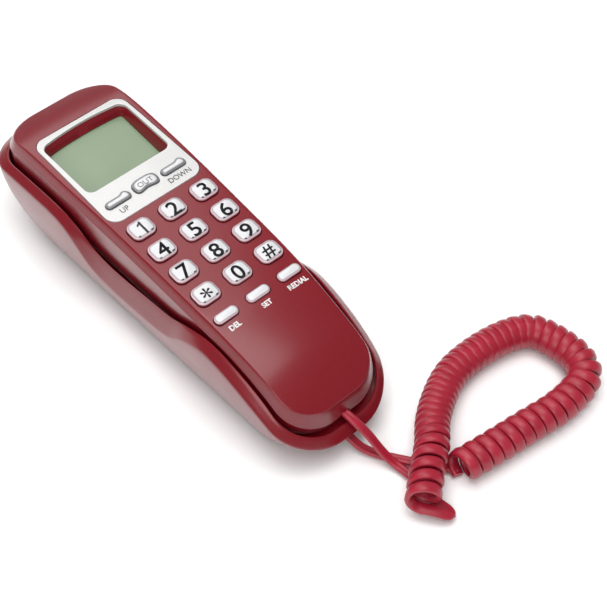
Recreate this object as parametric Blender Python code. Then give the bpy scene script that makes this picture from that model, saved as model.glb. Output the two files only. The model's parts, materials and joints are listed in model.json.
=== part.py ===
"""Corded landline phone: a cradle base, a handset with keypad and display, and its curly cord.

Metres, +Z up, +Y towards the display end, the origin on the table under the middle of the base.
The handset is built in its own tilted frame, whose origin is the top of the key "2".
"""
import math

import bmesh
import bpy
from mathutils import Matrix, Vector

# ------------------------------------------------------------------ driving dimensions
GAP = 0.0003                 # clearance between pieces that touch
WALL = 0.0018                # moulded wall thickness
CORNER_STEPS = 5             # straight steps in each plan corner
SIDE_STEPS = 22              # stations along a long side

BASE_LENGTH = 0.1956
BASE_END = BASE_LENGTH / 2

HANDSET_TILT = math.radians(4.5)
HANDSET_ORIGIN = (0.0, 0.0080, 0.0509)
HANDSET_FRONT = -0.1010      # mouthpiece end of the top face, handset frame
HANDSET_BACK = 0.0825        # earpiece end of the top face, handset frame
BEVEL_OUT = 0.0018           # the steep band round the top face

KEY_PITCH_X = 0.0155
KEY_PITCH_Y = 0.0131
KEY_SIZE = (0.0106, 0.0090)
KEY_FLANGE = 0.0006          # thickness of the rim that keeps a key in
FLANGE_REACH = 0.0008        # how far that rim sticks out in front and behind
KEY_PROUD = 0.0018
FASCIA_KEY_PROUD = 0.0016
KEY_TRAVEL = 0.0010
MAT_TOP = -0.0086
MAT_THICKNESS = 0.0014
BOARD_THICKNESS = 0.0016
FASCIA_KEY_FOOT = MAT_TOP + KEY_TRAVEL + GAP
KEY_FOOT = FASCIA_KEY_FOOT + 0.0002
OBLONG_ROW_Y = -3 * KEY_PITCH_Y - 0.01205
OBLONG_SIZE = (0.0106, 0.0044)
FASCIA_KEY_Y = 0.0170
FASCIA_KEY_X = 0.0137
FASCIA_KEY_SIZE = (0.0126, 0.0050)
CALL_KEY_SIZE = (0.0122, 0.0074)

FASCIA_FRONT = 0.0083
FASCIA_BACK = 0.0632
FASCIA_HALF_WIDTH = ((FASCIA_FRONT, 0.0229), (FASCIA_BACK, 0.0220))
FASCIA_CORNERS = (0.0056, 0.0046)
WINDOW_FRONT = 0.0268
WINDOW_BACK = 0.0592
WINDOW_HALF = 0.0202
WINDOW_CORNER = 0.0034
WELL_TAPER = 0.0014
WELL_FLOOR = -0.0092         # underside of the display's well
WELL_BLOCK_HALF = 0.0222
FASCIA_THICKNESS = 0.0011

BOSS_FRONT_Y = -0.0636       # screw bosses of the handset
BOSS_BACK_Y = 0.0725
EARPIECE_Y = 0.0500
MICROPHONE_Y = -0.0760
SOCKET_Z = -0.0234           # middle of the handset's cord socket
SOCKET_FRONT = -0.0968
SCREW_SHANK = 0.0012
SCREW_HEAD = 0.0026
SCREW_LENGTH = 0.0095
SHOULDER_DEPTH = 0.0045      # from the handset's back to the screws' shoulders
BOSS_RADIUS = 0.0030
PILLAR_RADIUS = 0.0042
BELOW_COVER = -0.0140        # cutters that pass through the front cover start and end here
ABOVE_COVER = 0.0040

CORD_RADIUS = 0.0016         # a flat cord, so its plain tube is between its two widths
COIL_RADIUS = 0.0072
PLUG_HALF = (0.0036, 0.0019)
PLUG_LENGTH = 0.0120
# The cord lies on the table. Its coil is a loop that stands on the two tails where it crosses them.
HANDSET_TAIL_ROUTE = (
    (0.0, -0.0894, 0.0195), (0.0003, -0.0930, 0.0195), (0.0012, -0.0980, 0.0178),
    (0.0030, -0.1033, 0.0132), (0.0048, -0.1085, 0.0070), (0.0064, -0.1135, 0.0032),
    (0.0074, -0.1185, 0.0021), (0.0080, -0.1245, 0.0019), (0.0078, -0.1300, 0.0019),
    (0.0066, -0.1350, 0.0019))
BASE_TAIL_ROUTE = (
    (0.0, -0.0914, 0.0068), (0.0003, -0.0950, 0.0064), (0.0018, -0.1005, 0.0036),
    (0.0052, -0.1065, 0.0020), (0.0092, -0.1125, 0.0019), (0.0130, -0.1180, 0.0019),
    (0.0168, -0.1235, 0.0019), (0.0205, -0.1283, 0.0020), (0.0232, -0.1315, 0.0024))
COIL_ROUTE = (
    (-0.0007, -0.1359, 0.0114), (0.0095, -0.1278, 0.0114), (0.0190, -0.1207, 0.0106),
    (0.0281, -0.1121, 0.0088), (0.0397, -0.1047, 0.0077), (0.0504, -0.1006, 0.0074),
    (0.0625, -0.0997, 0.0074), (0.0742, -0.1009, 0.0074), (0.0831, -0.1034, 0.0074),
    (0.0886, -0.1070, 0.0074), (0.0912, -0.1125, 0.0074), (0.0926, -0.1201, 0.0074),
    (0.0928, -0.1270, 0.0074), (0.0909, -0.1331, 0.0074), (0.0865, -0.1370, 0.0074),
    (0.0791, -0.1388, 0.0074), (0.0675, -0.1391, 0.0074), (0.0553, -0.1375, 0.0074),
    (0.0434, -0.1361, 0.0074), (0.0330, -0.1348, 0.0074), (0.0250, -0.1336, 0.0074))

# Profiles are (position along Y, value), joined by smooth curves.
FACE_HEIGHT = ((-0.1030, -0.0165), (-0.0930, -0.0117), (-0.0800, -0.0072), (-0.0600, -0.0036),
               (-0.0400, -0.0020), (-0.0100, -0.0017), (0.0100, -0.0018), (0.0420, -0.0032),
               (0.0560, -0.0041), (0.0650, -0.0054), (0.0740, -0.0082), (0.0840, -0.0128))
FACE_HALF_WIDTH = ((-0.1030, 0.0207), (-0.0800, 0.0214), (-0.0410, 0.0230), (0.0, 0.0240),
                   (0.0420, 0.0251), (0.0840, 0.0253))
BEVEL_DROP = ((-0.1050, 0.0070), (-0.0860, 0.0056), (-0.0600, 0.0044), (0.0840, 0.0044))
REAR_HEIGHT = ((-0.1030, -0.0285), (-0.0850, -0.0285), (-0.0500, -0.0268), (0.0, -0.0288),
               (0.0400, -0.0322), (0.0840, -0.0334))
BASE_HALF_WIDTH = ((-0.0978, 0.0266), (-0.0800, 0.0282), (-0.0550, 0.0290), (0.0, 0.0304),
                   (0.0500, 0.0316), (0.0978, 0.0318))
BAND_HEIGHT = ((-0.0978, 0.0120), (-0.0875, 0.0180), (-0.0725, 0.0270), (-0.0575, 0.0332),
               (-0.0445, 0.0353), (-0.0325, 0.0312), (-0.0225, 0.0236), (-0.0105, 0.0206),
               (0.0125, 0.0196), (0.0245, 0.0220), (0.0365, 0.0325), (0.0455, 0.0366),
               (0.0650, 0.0366), (0.0978, 0.0345))
RIM_HEIGHT = ((-0.0978, 0.0148), (-0.0875, 0.0214), (-0.0725, 0.0310), (-0.0575, 0.0370),
              (-0.0445, 0.0394), (-0.0325, 0.0368), (-0.0225, 0.0332), (-0.0105, 0.0318),
              (0.0125, 0.0300), (0.0245, 0.0316), (0.0365, 0.0374), (0.0455, 0.0398),
              (0.0650, 0.0397), (0.0978, 0.0370))
RIM_GAP = 0.0013             # from the handset's widest line to the rim
TRAY_GAP = 0.0010            # from the handset's back to the tray floor
SIDE_UNDERCUT = 0.0066
FRONT_UNDERCUT = 0.0140
BACK_UNDERCUT = 0.0200
WALL_FULL = 0.0370
FOOT_HEIGHT = 0.0010

PILLAR_TOP = 0.0085
BASE_SHOULDER = 0.0055
BASE_SCREW_LENGTH = 0.0075
BASE_SCREWS = ((-0.0140, 0.0620), (0.0140, 0.0620), (-0.0130, -0.0620), (0.0130, -0.0620))
RUBBER_FEET = ((-0.0130, 0.0480), (0.0130, 0.0480), (-0.0120, -0.0500), (0.0120, -0.0500))
BOARD_Z = 0.0055
HOOK_Y = 0.0330
HOOK_FOOT = 0.0118
RINGER_Y = 0.0560            # the ringer's volume switch, in the right-hand wall
RINGER_Z = 0.0140
RINGER_SPEAKER_Y = -0.0300
BASE_PLUG_Z = 0.0068
SPEAKER_SLOT_PITCH = 0.0036
# Sockets are boxes, given by their low and high corners.
LINE_SOCKET = ((-0.0060, 0.0675, 0.0060), (0.0060, 0.0815, 0.0140))
BASE_SOCKET = ((-0.0055, -0.0890, 0.0037), (0.0055, -0.0750, 0.0101))


# ------------------------------------------------------------------ general helpers
def clear_scene():
    for old in list(bpy.data.objects):
        bpy.data.objects.remove(old, do_unlink=True)


def collection(name):
    made = bpy.data.collections.new(name)
    bpy.context.scene.collection.children.link(made)
    return made


def material(name, colour, roughness, metallic=0.0):
    made = bpy.data.materials.new(name)
    made.use_nodes = True
    shader = made.node_tree.nodes["Principled BSDF"]
    shader.inputs["Base Color"].default_value = (*colour, 1.0)
    shader.inputs["Roughness"].default_value = roughness
    shader.inputs["Metallic"].default_value = metallic
    return made


def smooth(profile, at):
    """Value at a position on the smooth curve through a profile's points."""
    if at <= profile[0][0]:
        return profile[0][1]
    if at >= profile[-1][0]:
        return profile[-1][1]
    slopes = []
    for i, point in enumerate(profile):
        before = profile[max(i - 1, 0)]
        after = profile[min(i + 1, len(profile) - 1)]
        slopes.append((after[1] - before[1]) / (after[0] - before[0]))
    for i in range(len(profile) - 1):
        start, end = profile[i], profile[i + 1]
        if at <= end[0]:
            span = end[0] - start[0]
            t = (at - start[0]) / span
            return ((2 * t**3 - 3 * t**2 + 1) * start[1] + (t**3 - 2 * t**2 + t) * span * slopes[i]
                    + (3 * t**2 - 2 * t**3) * end[1] + (t**3 - t**2) * span * slopes[i + 1])
    return profile[-1][1]


def add_object(name, mesh, finish, group, parent=None, location=(0, 0, 0)):
    made = bpy.data.objects.new(name, mesh)
    made.parent = parent
    made.location = location
    mesh.materials.clear()
    mesh.materials.append(finish)
    group.objects.link(made)
    return made


def mesh_from(bm, name):
    bmesh.ops.recalc_face_normals(bm, faces=bm.faces)
    mesh = bpy.data.meshes.new(name)
    bm.to_mesh(mesh)
    bm.free()
    return mesh


def as_cutter(made):
    made.display_type = "WIRE"
    made.hide_render = True
    return made


def boolean(made, cutter, operation="DIFFERENCE"):
    step = made.modifiers.new(cutter.name, "BOOLEAN")
    step.operation = operation
    step.object = cutter
    step.solver = "EXACT"


# ------------------------------------------------------------------ outlines and lofts
def outline(half_width, front, back, corner_front, corner_back, steps=SIDE_STEPS):
    """Closed plan outline, mirrored about X = 0: up the right side, then down the left.
    Each corner is a quarter ellipse, given by its radii across and along."""
    right = []
    for i in range(CORNER_STEPS + 1):
        turn = math.pi / 2 * i / CORNER_STEPS
        y = front + corner_front[1] * (1 - math.cos(turn))
        right.append((half_width(y) - corner_front[0] * (1 - math.sin(turn)), y))
    start, end = front + corner_front[1], back - corner_back[1]
    for i in range(1, steps):
        y = start + (end - start) * i / steps
        right.append((half_width(y), y))
    for i in range(CORNER_STEPS + 1):
        turn = math.pi / 2 * i / CORNER_STEPS
        y = back - corner_back[1] * (1 - math.sin(turn))
        right.append((half_width(y) - corner_back[0] * (1 - math.cos(turn)), y))
    return right + [(-x, y) for x, y in reversed(right)]


def rounded_rectangle(size, radius, steps=3, centre=(0.0, 0.0)):
    """Closed outline of a rounded rectangle, anticlockwise."""
    points = []
    inner = (size[0] / 2 - radius, size[1] / 2 - radius)
    for corner, (sx, sy) in enumerate(((1, 1), (-1, 1), (-1, -1), (1, -1))):
        for i in range(steps + 1):
            turn = math.pi / 2 * (corner + i / steps)
            points.append((centre[0] + sx * inner[0] + radius * math.cos(turn),
                           centre[1] + sy * inner[1] + radius * math.sin(turn)))
    return points


def circle(radius, steps, centre=(0.0, 0.0)):
    return [(centre[0] + radius * math.cos(2 * math.pi * i / steps),
             centre[1] + radius * math.sin(2 * math.pi * i / steps)) for i in range(steps)]


def ladder(bm, loop):
    """Fill a mirrored loop with strips that run straight across it."""
    count = len(loop)
    for i in range(count // 2 - 1):
        bm.faces.new((loop[i], loop[i + 1], loop[count - 2 - i], loop[count - 1 - i]))


def bridge(bm, lower, upper):
    count = len(lower)
    for i in range(count):
        j = (i + 1) % count
        bm.faces.new((lower[i], lower[j], upper[j], upper[i]))


def loft(name, loops, ends="flat"):
    """Solid through loops of 3-D points. Its ends are flat, mirrored (closed by strips across,
    which may follow a curve) or joined to each other, as on a ring."""
    bm = bmesh.new()
    rings = [[bm.verts.new(point) for point in loop] for loop in loops]
    for lower, upper in zip(rings, rings[1:]):
        bridge(bm, lower, upper)
    if ends == "joined":
        bridge(bm, rings[-1], rings[0])
    else:
        for end in (rings[0], rings[-1]):
            if ends == "mirrored":
                ladder(bm, end)
            else:
                bm.faces.new(end)
    return mesh_from(bm, name)


def at_height(points, height):
    """Lift plan points to a height, which is a number or a function of Y."""
    if callable(height):
        return [(x, y, height(y)) for x, y in points]
    return [(x, y, height) for x, y in points]


def grown(corners, margin):
    """The two corners of a box that is bigger all round."""
    return Vector(corners[0]) - Vector([margin] * 3), Vector(corners[1]) + Vector([margin] * 3)


def box(name, low, high):
    bm = bmesh.new()
    bmesh.ops.create_cube(bm, size=1.0)
    size = Vector(high) - Vector(low)
    bmesh.ops.scale(bm, vec=size, verts=bm.verts)
    bmesh.ops.translate(bm, vec=(Vector(high) + Vector(low)) / 2, verts=bm.verts)
    return mesh_from(bm, name)


def cylinder(name, radius, low, high, steps=16, centre=(0.0, 0.0)):
    bm = bmesh.new()
    bmesh.ops.create_cone(bm, cap_ends=True, segments=steps, radius1=radius, radius2=radius,
                          depth=high - low)
    bmesh.ops.translate(bm, vec=(*centre, (low + high) / 2), verts=bm.verts)
    return mesh_from(bm, name)


# ------------------------------------------------------------------ handset surfaces
def face_height(y):
    return smooth(FACE_HEIGHT, y)


def rear_height(y):
    return smooth(REAR_HEIGHT, y)


def highest_rear(y, reach):
    """Highest level of the handset's back within a reach of a place."""
    return max(rear_height(y - reach), rear_height(y), rear_height(y + reach))


def handset_outline(outset):
    """Plan outline of the handset, grown outwards from the edge of its top face."""
    return outline(lambda y: smooth(FACE_HALF_WIDTH, y) + outset,
                   HANDSET_FRONT - outset, HANDSET_BACK + outset,
                   (0.0150 + outset, 0.0125 + outset), (0.0160 + outset, 0.0130 + outset))


def make_front_cover(finish, group, cutters, frame):
    edge = 0.0008
    face = at_height(handset_outline(-edge), face_height)
    rim = at_height(handset_outline(0.0), lambda y: face_height(y) - edge / 2)
    part_line = at_height(handset_outline(BEVEL_OUT), part_height)
    inner_line = at_height(handset_outline(BEVEL_OUT - WALL), part_height)
    ceiling = at_height(handset_outline(-WALL), lambda y: face_height(y) - WALL)
    mesh = loft("handset_front_cover", [face, rim, part_line, inner_line, ceiling], "mirrored")
    cover = add_object("handset_front_cover", mesh, finish, group, frame)

    def cut(name, cutter_mesh, operation="DIFFERENCE"):
        cutter = as_cutter(add_object(name, cutter_mesh, finish, cutters, frame))
        boolean(cover, cutter, operation)

    cut("fascia_backing", fascia_solid("fascia_backing", 0.0006, -0.0042, -0.0010), "UNION")
    block = box("well_block", (-WELL_BLOCK_HALF, WINDOW_FRONT - 0.0022, WELL_FLOOR),
                (WELL_BLOCK_HALF, WINDOW_BACK + 0.0028, WELL_FLOOR + 0.0032))
    cut("well_block", block, "UNION")
    for name, y in (("boss_front", BOSS_FRONT_Y), ("boss_back", BOSS_BACK_Y)):
        boss = cylinder(name, BOSS_RADIUS, pillar_top(y) + GAP, face_height(y) - WALL / 2, 14, (0.0, y))
        cut(name, boss, "UNION")
    holes = bmesh.new()
    for points, low, high in cover_holes():
        add_prism(holes, points, low, high)
    cut("front_cover_holes", mesh_from(holes, "front_cover_holes"))
    pockets = bmesh.new()
    for _, centre, size, radius in face_keys():
        top, flange, _ = key_levels(centre, size)
        room = (size[0] + 2 * GAP, size[1] + 2 * FLANGE_REACH + 2 * GAP)
        add_prism(pockets, rounded_rectangle(room, radius, 3, centre), BELOW_COVER,
                  top + flange + KEY_FLANGE + GAP)
    cut("flange_pockets", mesh_from(pockets, "flange_pockets"))
    cut("well_opening", well_opening("well_opening"))
    cut("fascia_recess", fascia_solid("fascia_recess", GAP, -FASCIA_THICKNESS - GAP, ABOVE_COVER))
    cut("cord_notch", cord_notch("cord_notch", SOCKET_Z - 0.0024))


def part_height(y):
    return face_height(y) - smooth(BEVEL_DROP, y)


def pillar_top(y):
    return rear_height(y) + 0.0075


def cord_notch(name, low):
    """The opening that the handset's cord socket looks out of. It is open below, for the cord."""
    return box(name, (-0.0042, -0.1100, low), (0.0042, -0.0985, SOCKET_Z + 0.0024))


def add_prism(bm, points, low, high):
    """Add a closed upright prism to a mesh."""
    bottom = [bm.verts.new((x, y, low)) for x, y in points]
    top = [bm.verts.new((x, y, high)) for x, y in points]
    bridge(bm, bottom, top)
    bm.faces.new(bottom)
    bm.faces.new(top)


def add_bore(bm, centre, low, shoulder, high):
    """Add the space for a screw that goes in from below: its head's bore, then its shank's."""
    levels = ((SCREW_HEAD, low), (SCREW_HEAD, shoulder), (SCREW_SHANK, shoulder), (SCREW_SHANK, high))
    rings = []
    for radius, height in levels:
        points = circle(radius + GAP, 14, centre)
        rings.append([bm.verts.new((x, y, height)) for x, y in points])
    for lower, upper in zip(rings, rings[1:]):
        bridge(bm, lower, upper)
    bm.faces.new(rings[0])
    bm.faces.new(rings[-1])


def cover_holes():
    """Holes through the front cover: keys and screw pilots."""
    holes = []
    for _, centre, size, radius in face_keys():
        opening = (size[0] + 2 * GAP, size[1] + 2 * GAP)
        outline_points = rounded_rectangle(opening, radius + GAP, 3, centre)
        holes.append((outline_points, BELOW_COVER, ABOVE_COVER))
    for y in (BOSS_FRONT_Y, BOSS_BACK_Y):
        low = pillar_top(y) - 0.0010
        holes.append((circle(SCREW_SHANK + GAP, 10, (0.0, y)), low, low + SCREW_LENGTH))
    return holes


def well_opening(name):
    """The display's tapered well, open above the face."""
    centre = (0.0, (WINDOW_FRONT + WINDOW_BACK) / 2)
    loops = []
    levels = ((WELL_TAPER, WELL_FLOOR - 0.0018), (WELL_TAPER, WELL_FLOOR), (0.0, -0.0040),
              (0.0, ABOVE_COVER))
    for narrower, height in levels:
        size = (2 * (WINDOW_HALF - narrower), WINDOW_BACK - WINDOW_FRONT - 2 * narrower)
        loops.append(at_height(rounded_rectangle(size, WINDOW_CORNER - narrower, 3, centre), height))
    return loft(name, loops)


def fascia_solid(name, grow, low, high):
    """Plate with the fascia's outline that follows the arched face."""
    front_corner, back_corner = FASCIA_CORNERS[0] + grow, FASCIA_CORNERS[1] + grow
    points = outline(lambda y: smooth(FASCIA_HALF_WIDTH, y) + grow,
                     FASCIA_FRONT - grow, FASCIA_BACK + grow,
                     (front_corner, front_corner), (back_corner, back_corner), 8)
    return loft(name, [at_height(points, lambda y: face_height(y) + high),
                       at_height(points, lambda y: face_height(y) + low)], "mirrored")


def make_fascia(finish, group, cutters, frame):
    plate = add_object("fascia_plate", fascia_solid("fascia_plate", 0.0, -FASCIA_THICKNESS, 0.0002),
                       finish, group, frame)
    middle = (WINDOW_FRONT + WINDOW_BACK) / 2
    window = (2 * WINDOW_HALF, WINDOW_BACK - WINDOW_FRONT)
    holes = bmesh.new()
    add_prism(holes, rounded_rectangle(window, WINDOW_CORNER, 3, (0.0, middle)), BELOW_COVER, ABOVE_COVER)
    for _, centre, size, radius in fascia_keys():
        opening = (size[0] + 2 * GAP, size[1] + 2 * GAP)
        add_prism(holes, rounded_rectangle(opening, radius + GAP, 3, centre), BELOW_COVER, ABOVE_COVER)
    cutter = add_object("fascia_holes", mesh_from(holes, "fascia_holes"), finish, cutters, frame)
    boolean(plate, as_cutter(cutter))


def make_rear_cover(finish, group, cutters, frame):
    top = 0.0003
    levels = ((0.0, top), (0.45, 0.0), (0.80, -0.0006), (0.94, -0.0024), (1.0, -0.0060))

    def ring(fraction, outset, thickness):
        def height(y):
            start = part_height(y) - GAP
            end = rear_height(y) + thickness
            return start + (end - start) * fraction
        return at_height(handset_outline(BEVEL_OUT - 2 * top + outset - thickness), height)

    outer = [ring(fraction, outset, 0.0) for fraction, outset in levels]
    inner = [ring(fraction, outset, WALL) for fraction, outset in levels]
    mesh = loft("handset_rear_cover", list(reversed(outer)) + inner, "mirrored")
    cover = add_object("handset_rear_cover", mesh, finish, group, frame)

    def cut(name, cutter_mesh, operation="DIFFERENCE"):
        cutter = as_cutter(add_object(name, cutter_mesh, finish, cutters, frame))
        boolean(cover, cutter, operation)

    for name, y in (("pillar_front", BOSS_FRONT_Y), ("pillar_back", BOSS_BACK_Y)):
        pillar = cylinder(name, PILLAR_RADIUS, rear_height(y) + WALL / 2, pillar_top(y), 14, (0.0, y))
        cut(name, pillar, "UNION")
    holes = bmesh.new()
    for y in (BOSS_FRONT_Y, BOSS_BACK_Y):
        shoulder = rear_height(y) + SHOULDER_DEPTH
        add_bore(holes, (0.0, y), rear_height(y) - 0.003, shoulder, pillar_top(y) + 0.001)
    for i in range(-2, 3):
        length = 0.0160 - 0.0030 * abs(i)
        slot = rounded_rectangle((0.0018, length), 0.0008, 2, (0.0036 * i, EARPIECE_Y))
        add_prism(holes, slot, rear_height(EARPIECE_Y) - 0.003, rear_height(EARPIECE_Y) + 0.003)
    for i in range(-1, 2):
        slot = rounded_rectangle((0.0014, 0.0050), 0.0006, 2, (0.0030 * i, MICROPHONE_Y))
        add_prism(holes, slot, rear_height(MICROPHONE_Y) - 0.003, rear_height(MICROPHONE_Y) + 0.003)
    cut("rear_cover_holes", mesh_from(holes, "rear_cover_holes"))
    cut("rear_cord_notch", cord_notch("rear_cord_notch", SOCKET_Z - 0.0110))


# ------------------------------------------------------------------ keys
def digit_keys():
    names = ("1", "2", "3", "4", "5", "6", "7", "8", "9", "star", "0", "hash")
    for i, name in enumerate(names):
        centre = (KEY_PITCH_X * (i % 3 - 1), -KEY_PITCH_Y * (i // 3))
        yield "key_" + name, centre, KEY_SIZE, 0.0030


def oblong_keys():
    for i, name in enumerate(("delete", "set", "redial")):
        yield "key_" + name, (KEY_PITCH_X * (i - 1), OBLONG_ROW_Y), OBLONG_SIZE, 0.0020


def fascia_keys():
    yield "key_up", (-FASCIA_KEY_X, FASCIA_KEY_Y), FASCIA_KEY_SIZE, 0.0024
    yield "key_call", (0.0, FASCIA_KEY_Y + 0.0003), CALL_KEY_SIZE, 0.0030
    yield "key_down", (FASCIA_KEY_X, FASCIA_KEY_Y), FASCIA_KEY_SIZE, 0.0024


def face_keys():
    return list(digit_keys()) + list(oblong_keys()) + list(fascia_keys())


def key_levels(centre, size):
    """Height of a key's top, and of its flange and foot below that top."""
    reach = size[1] / 2 + FLANGE_REACH + GAP
    ceiling = min(face_height(centre[1] - reach), face_height(centre[1] + reach)) - WALL
    if centre[1] > FASCIA_FRONT:
        top = face_height(centre[1]) + FASCIA_KEY_PROUD
        return top, FASCIA_KEY_FOOT - top, FASCIA_KEY_FOOT - top
    top = face_height(centre[1]) + KEY_PROUD
    return top, ceiling - GAP - KEY_FLANGE - top, KEY_FOOT - top


def make_key(name, centre, size, radius, finish, group, frame):
    """A key's origin is the middle of its top; a flange under the cover keeps it in."""
    top, flange, foot = key_levels(centre, size)

    def ring(wider, longer, height):
        grown = (size[0] + 2 * wider, size[1] + 2 * longer)
        corner = min(max(radius + wider, 0.0006), 0.45 * min(grown))
        return at_height(rounded_rectangle(grown, corner, 3), height)

    loops = [ring(-0.0014, -0.0014, foot), ring(-0.0014, -0.0014, flange)] if foot < flange else []
    loops += [ring(0.0, FLANGE_REACH, flange), ring(0.0, FLANGE_REACH, flange + KEY_FLANGE),
              ring(0.0, 0.0, flange + KEY_FLANGE), ring(0.0, 0.0, -0.0008), ring(-0.0006, -0.0006, 0.0)]
    made = add_object(name, loft(name, loops), finish, group, frame)
    made.location = (centre[0], centre[1], top)


# ------------------------------------------------------------------ inside the handset
def make_handset_inside(finishes, group, cutters, frame):
    def put(name, mesh, finish):
        return add_object(name, mesh, finishes[finish], group, frame)

    floor = WALL + GAP

    def slab(name, plan, top, thickness, finish):
        left, front, right, back = plan
        put(name, box(name, (left, front, top - thickness), (right, back, top)), finish)

    keypad = (-0.0205, -0.0575, 0.0205, 0.0228)
    mat_foot = MAT_TOP - MAT_THICKNESS
    slab("keypad_mat", keypad, MAT_TOP, MAT_THICKNESS, "rubber")
    slab("keypad_board", keypad, mat_foot - GAP, BOARD_THICKNESS, "board")
    lcd_top, lcd_thickness = WELL_FLOOR - GAP, 0.0025
    slab("lcd_glass", (-0.0215, 0.0252, 0.0215, 0.0614), lcd_top, lcd_thickness, "lcd")
    board_top = lcd_top - lcd_thickness - 2 * GAP
    slab("display_board", (-0.0215, 0.0252, 0.0215, 0.0640), board_top, BOARD_THICKNESS, "board")
    seat = highest_rear(EARPIECE_Y, 0.013) + floor + 0.0002
    ring = loft("earpiece_gasket", ring_loops(0.0128, 0.0105, seat, seat + 0.0014, EARPIECE_Y), "joined")
    put("earpiece_gasket", ring, "rubber")
    low = seat + 0.0014 + GAP
    speaker = [at_height(circle(r, 24, (0.0, EARPIECE_Y)), low + z)
               for r, z in ((0.0128, 0.0), (0.0128, 0.0030), (0.0080, 0.0030), (0.0080, 0.0062))]
    put("earpiece_speaker", loft("earpiece_speaker", speaker), "steel")
    seat = highest_rear(MICROPHONE_Y, 0.006) + floor + 0.0002
    boot = loft("microphone_boot", ring_loops(0.0062, 0.0052, seat, seat + 0.0066, MICROPHONE_Y), "joined")
    put("microphone_boot", boot, "rubber")
    middle = (0.0, MICROPHONE_Y)
    capsule = cylinder("microphone_capsule", 0.0049, seat + 0.0004, seat + 0.0062, 18, middle)
    put("microphone_capsule", capsule, "steel")
    top = highest_rear(-0.0100, 0.018) + floor + 0.0060
    slab("handset_weight", (-0.0085, -0.0260, 0.0085, 0.0060), top, 0.0060, "steel")
    shape = box("handset_cord_socket", (-0.0056, SOCKET_FRONT, SOCKET_Z - 0.0029),
                (0.0056, SOCKET_FRONT + 0.0130, SOCKET_Z + 0.0029))
    socket = put("handset_cord_socket", shape, "black")
    bay = box("handset_socket_bay", (-0.0040, SOCKET_FRONT - 0.0020, SOCKET_Z - 0.0023),
              (0.0040, SOCKET_FRONT + 0.0110, SOCKET_Z + 0.0023))
    boolean(socket, as_cutter(add_object("handset_socket_bay", bay, finishes["black"], cutters, frame)))
    for number, y in enumerate((BOSS_FRONT_Y, BOSS_BACK_Y), 1):
        name = f"handset_screw_{number}"
        put(name, screw(name, (0.0, y), rear_height(y) + SHOULDER_DEPTH - GAP, SCREW_LENGTH), "steel")


def ring_loops(outer, inner, low, high, y=0.0, steps=24):
    """Loops of a washer, from its inner top edge round to its inner bottom edge."""
    return [at_height(circle(inner, steps, (0.0, y)), high), at_height(circle(outer, steps, (0.0, y)), high),
            at_height(circle(outer, steps, (0.0, y)), low), at_height(circle(inner, steps, (0.0, y)), low)]


def screw(name, centre, shoulder, length):
    """A pan-head screw, head down, with its shoulder at a height."""
    profile = ((SCREW_HEAD - 0.0006, -0.0018), (SCREW_HEAD, -0.0012), (SCREW_HEAD, 0.0),
               (SCREW_SHANK, 0.0), (SCREW_SHANK, length - 0.0012), (0.0004, length))
    return loft(name, [at_height(circle(radius, 12, centre), shoulder + height)
                       for radius, height in profile])


# ------------------------------------------------------------------ base surfaces
def band_height(y):
    return smooth(BAND_HEIGHT, y)


def rim_height(y):
    return smooth(RIM_HEIGHT, y)


def in_world(y, z):
    """World Y and Z of a point of the handset frame."""
    cos, sin = math.cos(HANDSET_TILT), math.sin(HANDSET_TILT)
    return HANDSET_ORIGIN[1] + y * cos - z * sin, HANDSET_ORIGIN[2] + y * sin + z * cos


def tray_floor(y):
    """Height of the tray's floor, just under the back of the resting handset."""
    along = (y - HANDSET_ORIGIN[1]) / math.cos(HANDSET_TILT)
    return in_world(along, rear_height(along) - TRAY_GAP)[1]


def hull_outline(fraction, inset=0.0):
    """Plan outline of the outer wall at a fraction of the way from the bottom up to the band."""
    back_inset = BACK_UNDERCUT * (1 - fraction)**1.7
    front_inset = FRONT_UNDERCUT * (1 - fraction)**1.4

    def half(y):
        height = fraction * band_height(y)
        undercut = SIDE_UNDERCUT * max(0.0, 1 - height / WALL_FULL)**2.6
        return smooth(BASE_HALF_WIDTH, y) - undercut - inset
    return outline(half, -BASE_END + front_inset + inset, BASE_END - back_inset - inset,
                   (0.0190 - inset, 0.0170 - inset), (0.0190 - inset, 0.0160 - inset))


def tray_outline(grow):
    """Plan outline of the tray's wall, a clearance outside the handset."""
    return [(x, HANDSET_ORIGIN[1] + 0.0012 + y * math.cos(HANDSET_TILT))
            for x, y in handset_outline(BEVEL_OUT + RIM_GAP + grow)]


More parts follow.
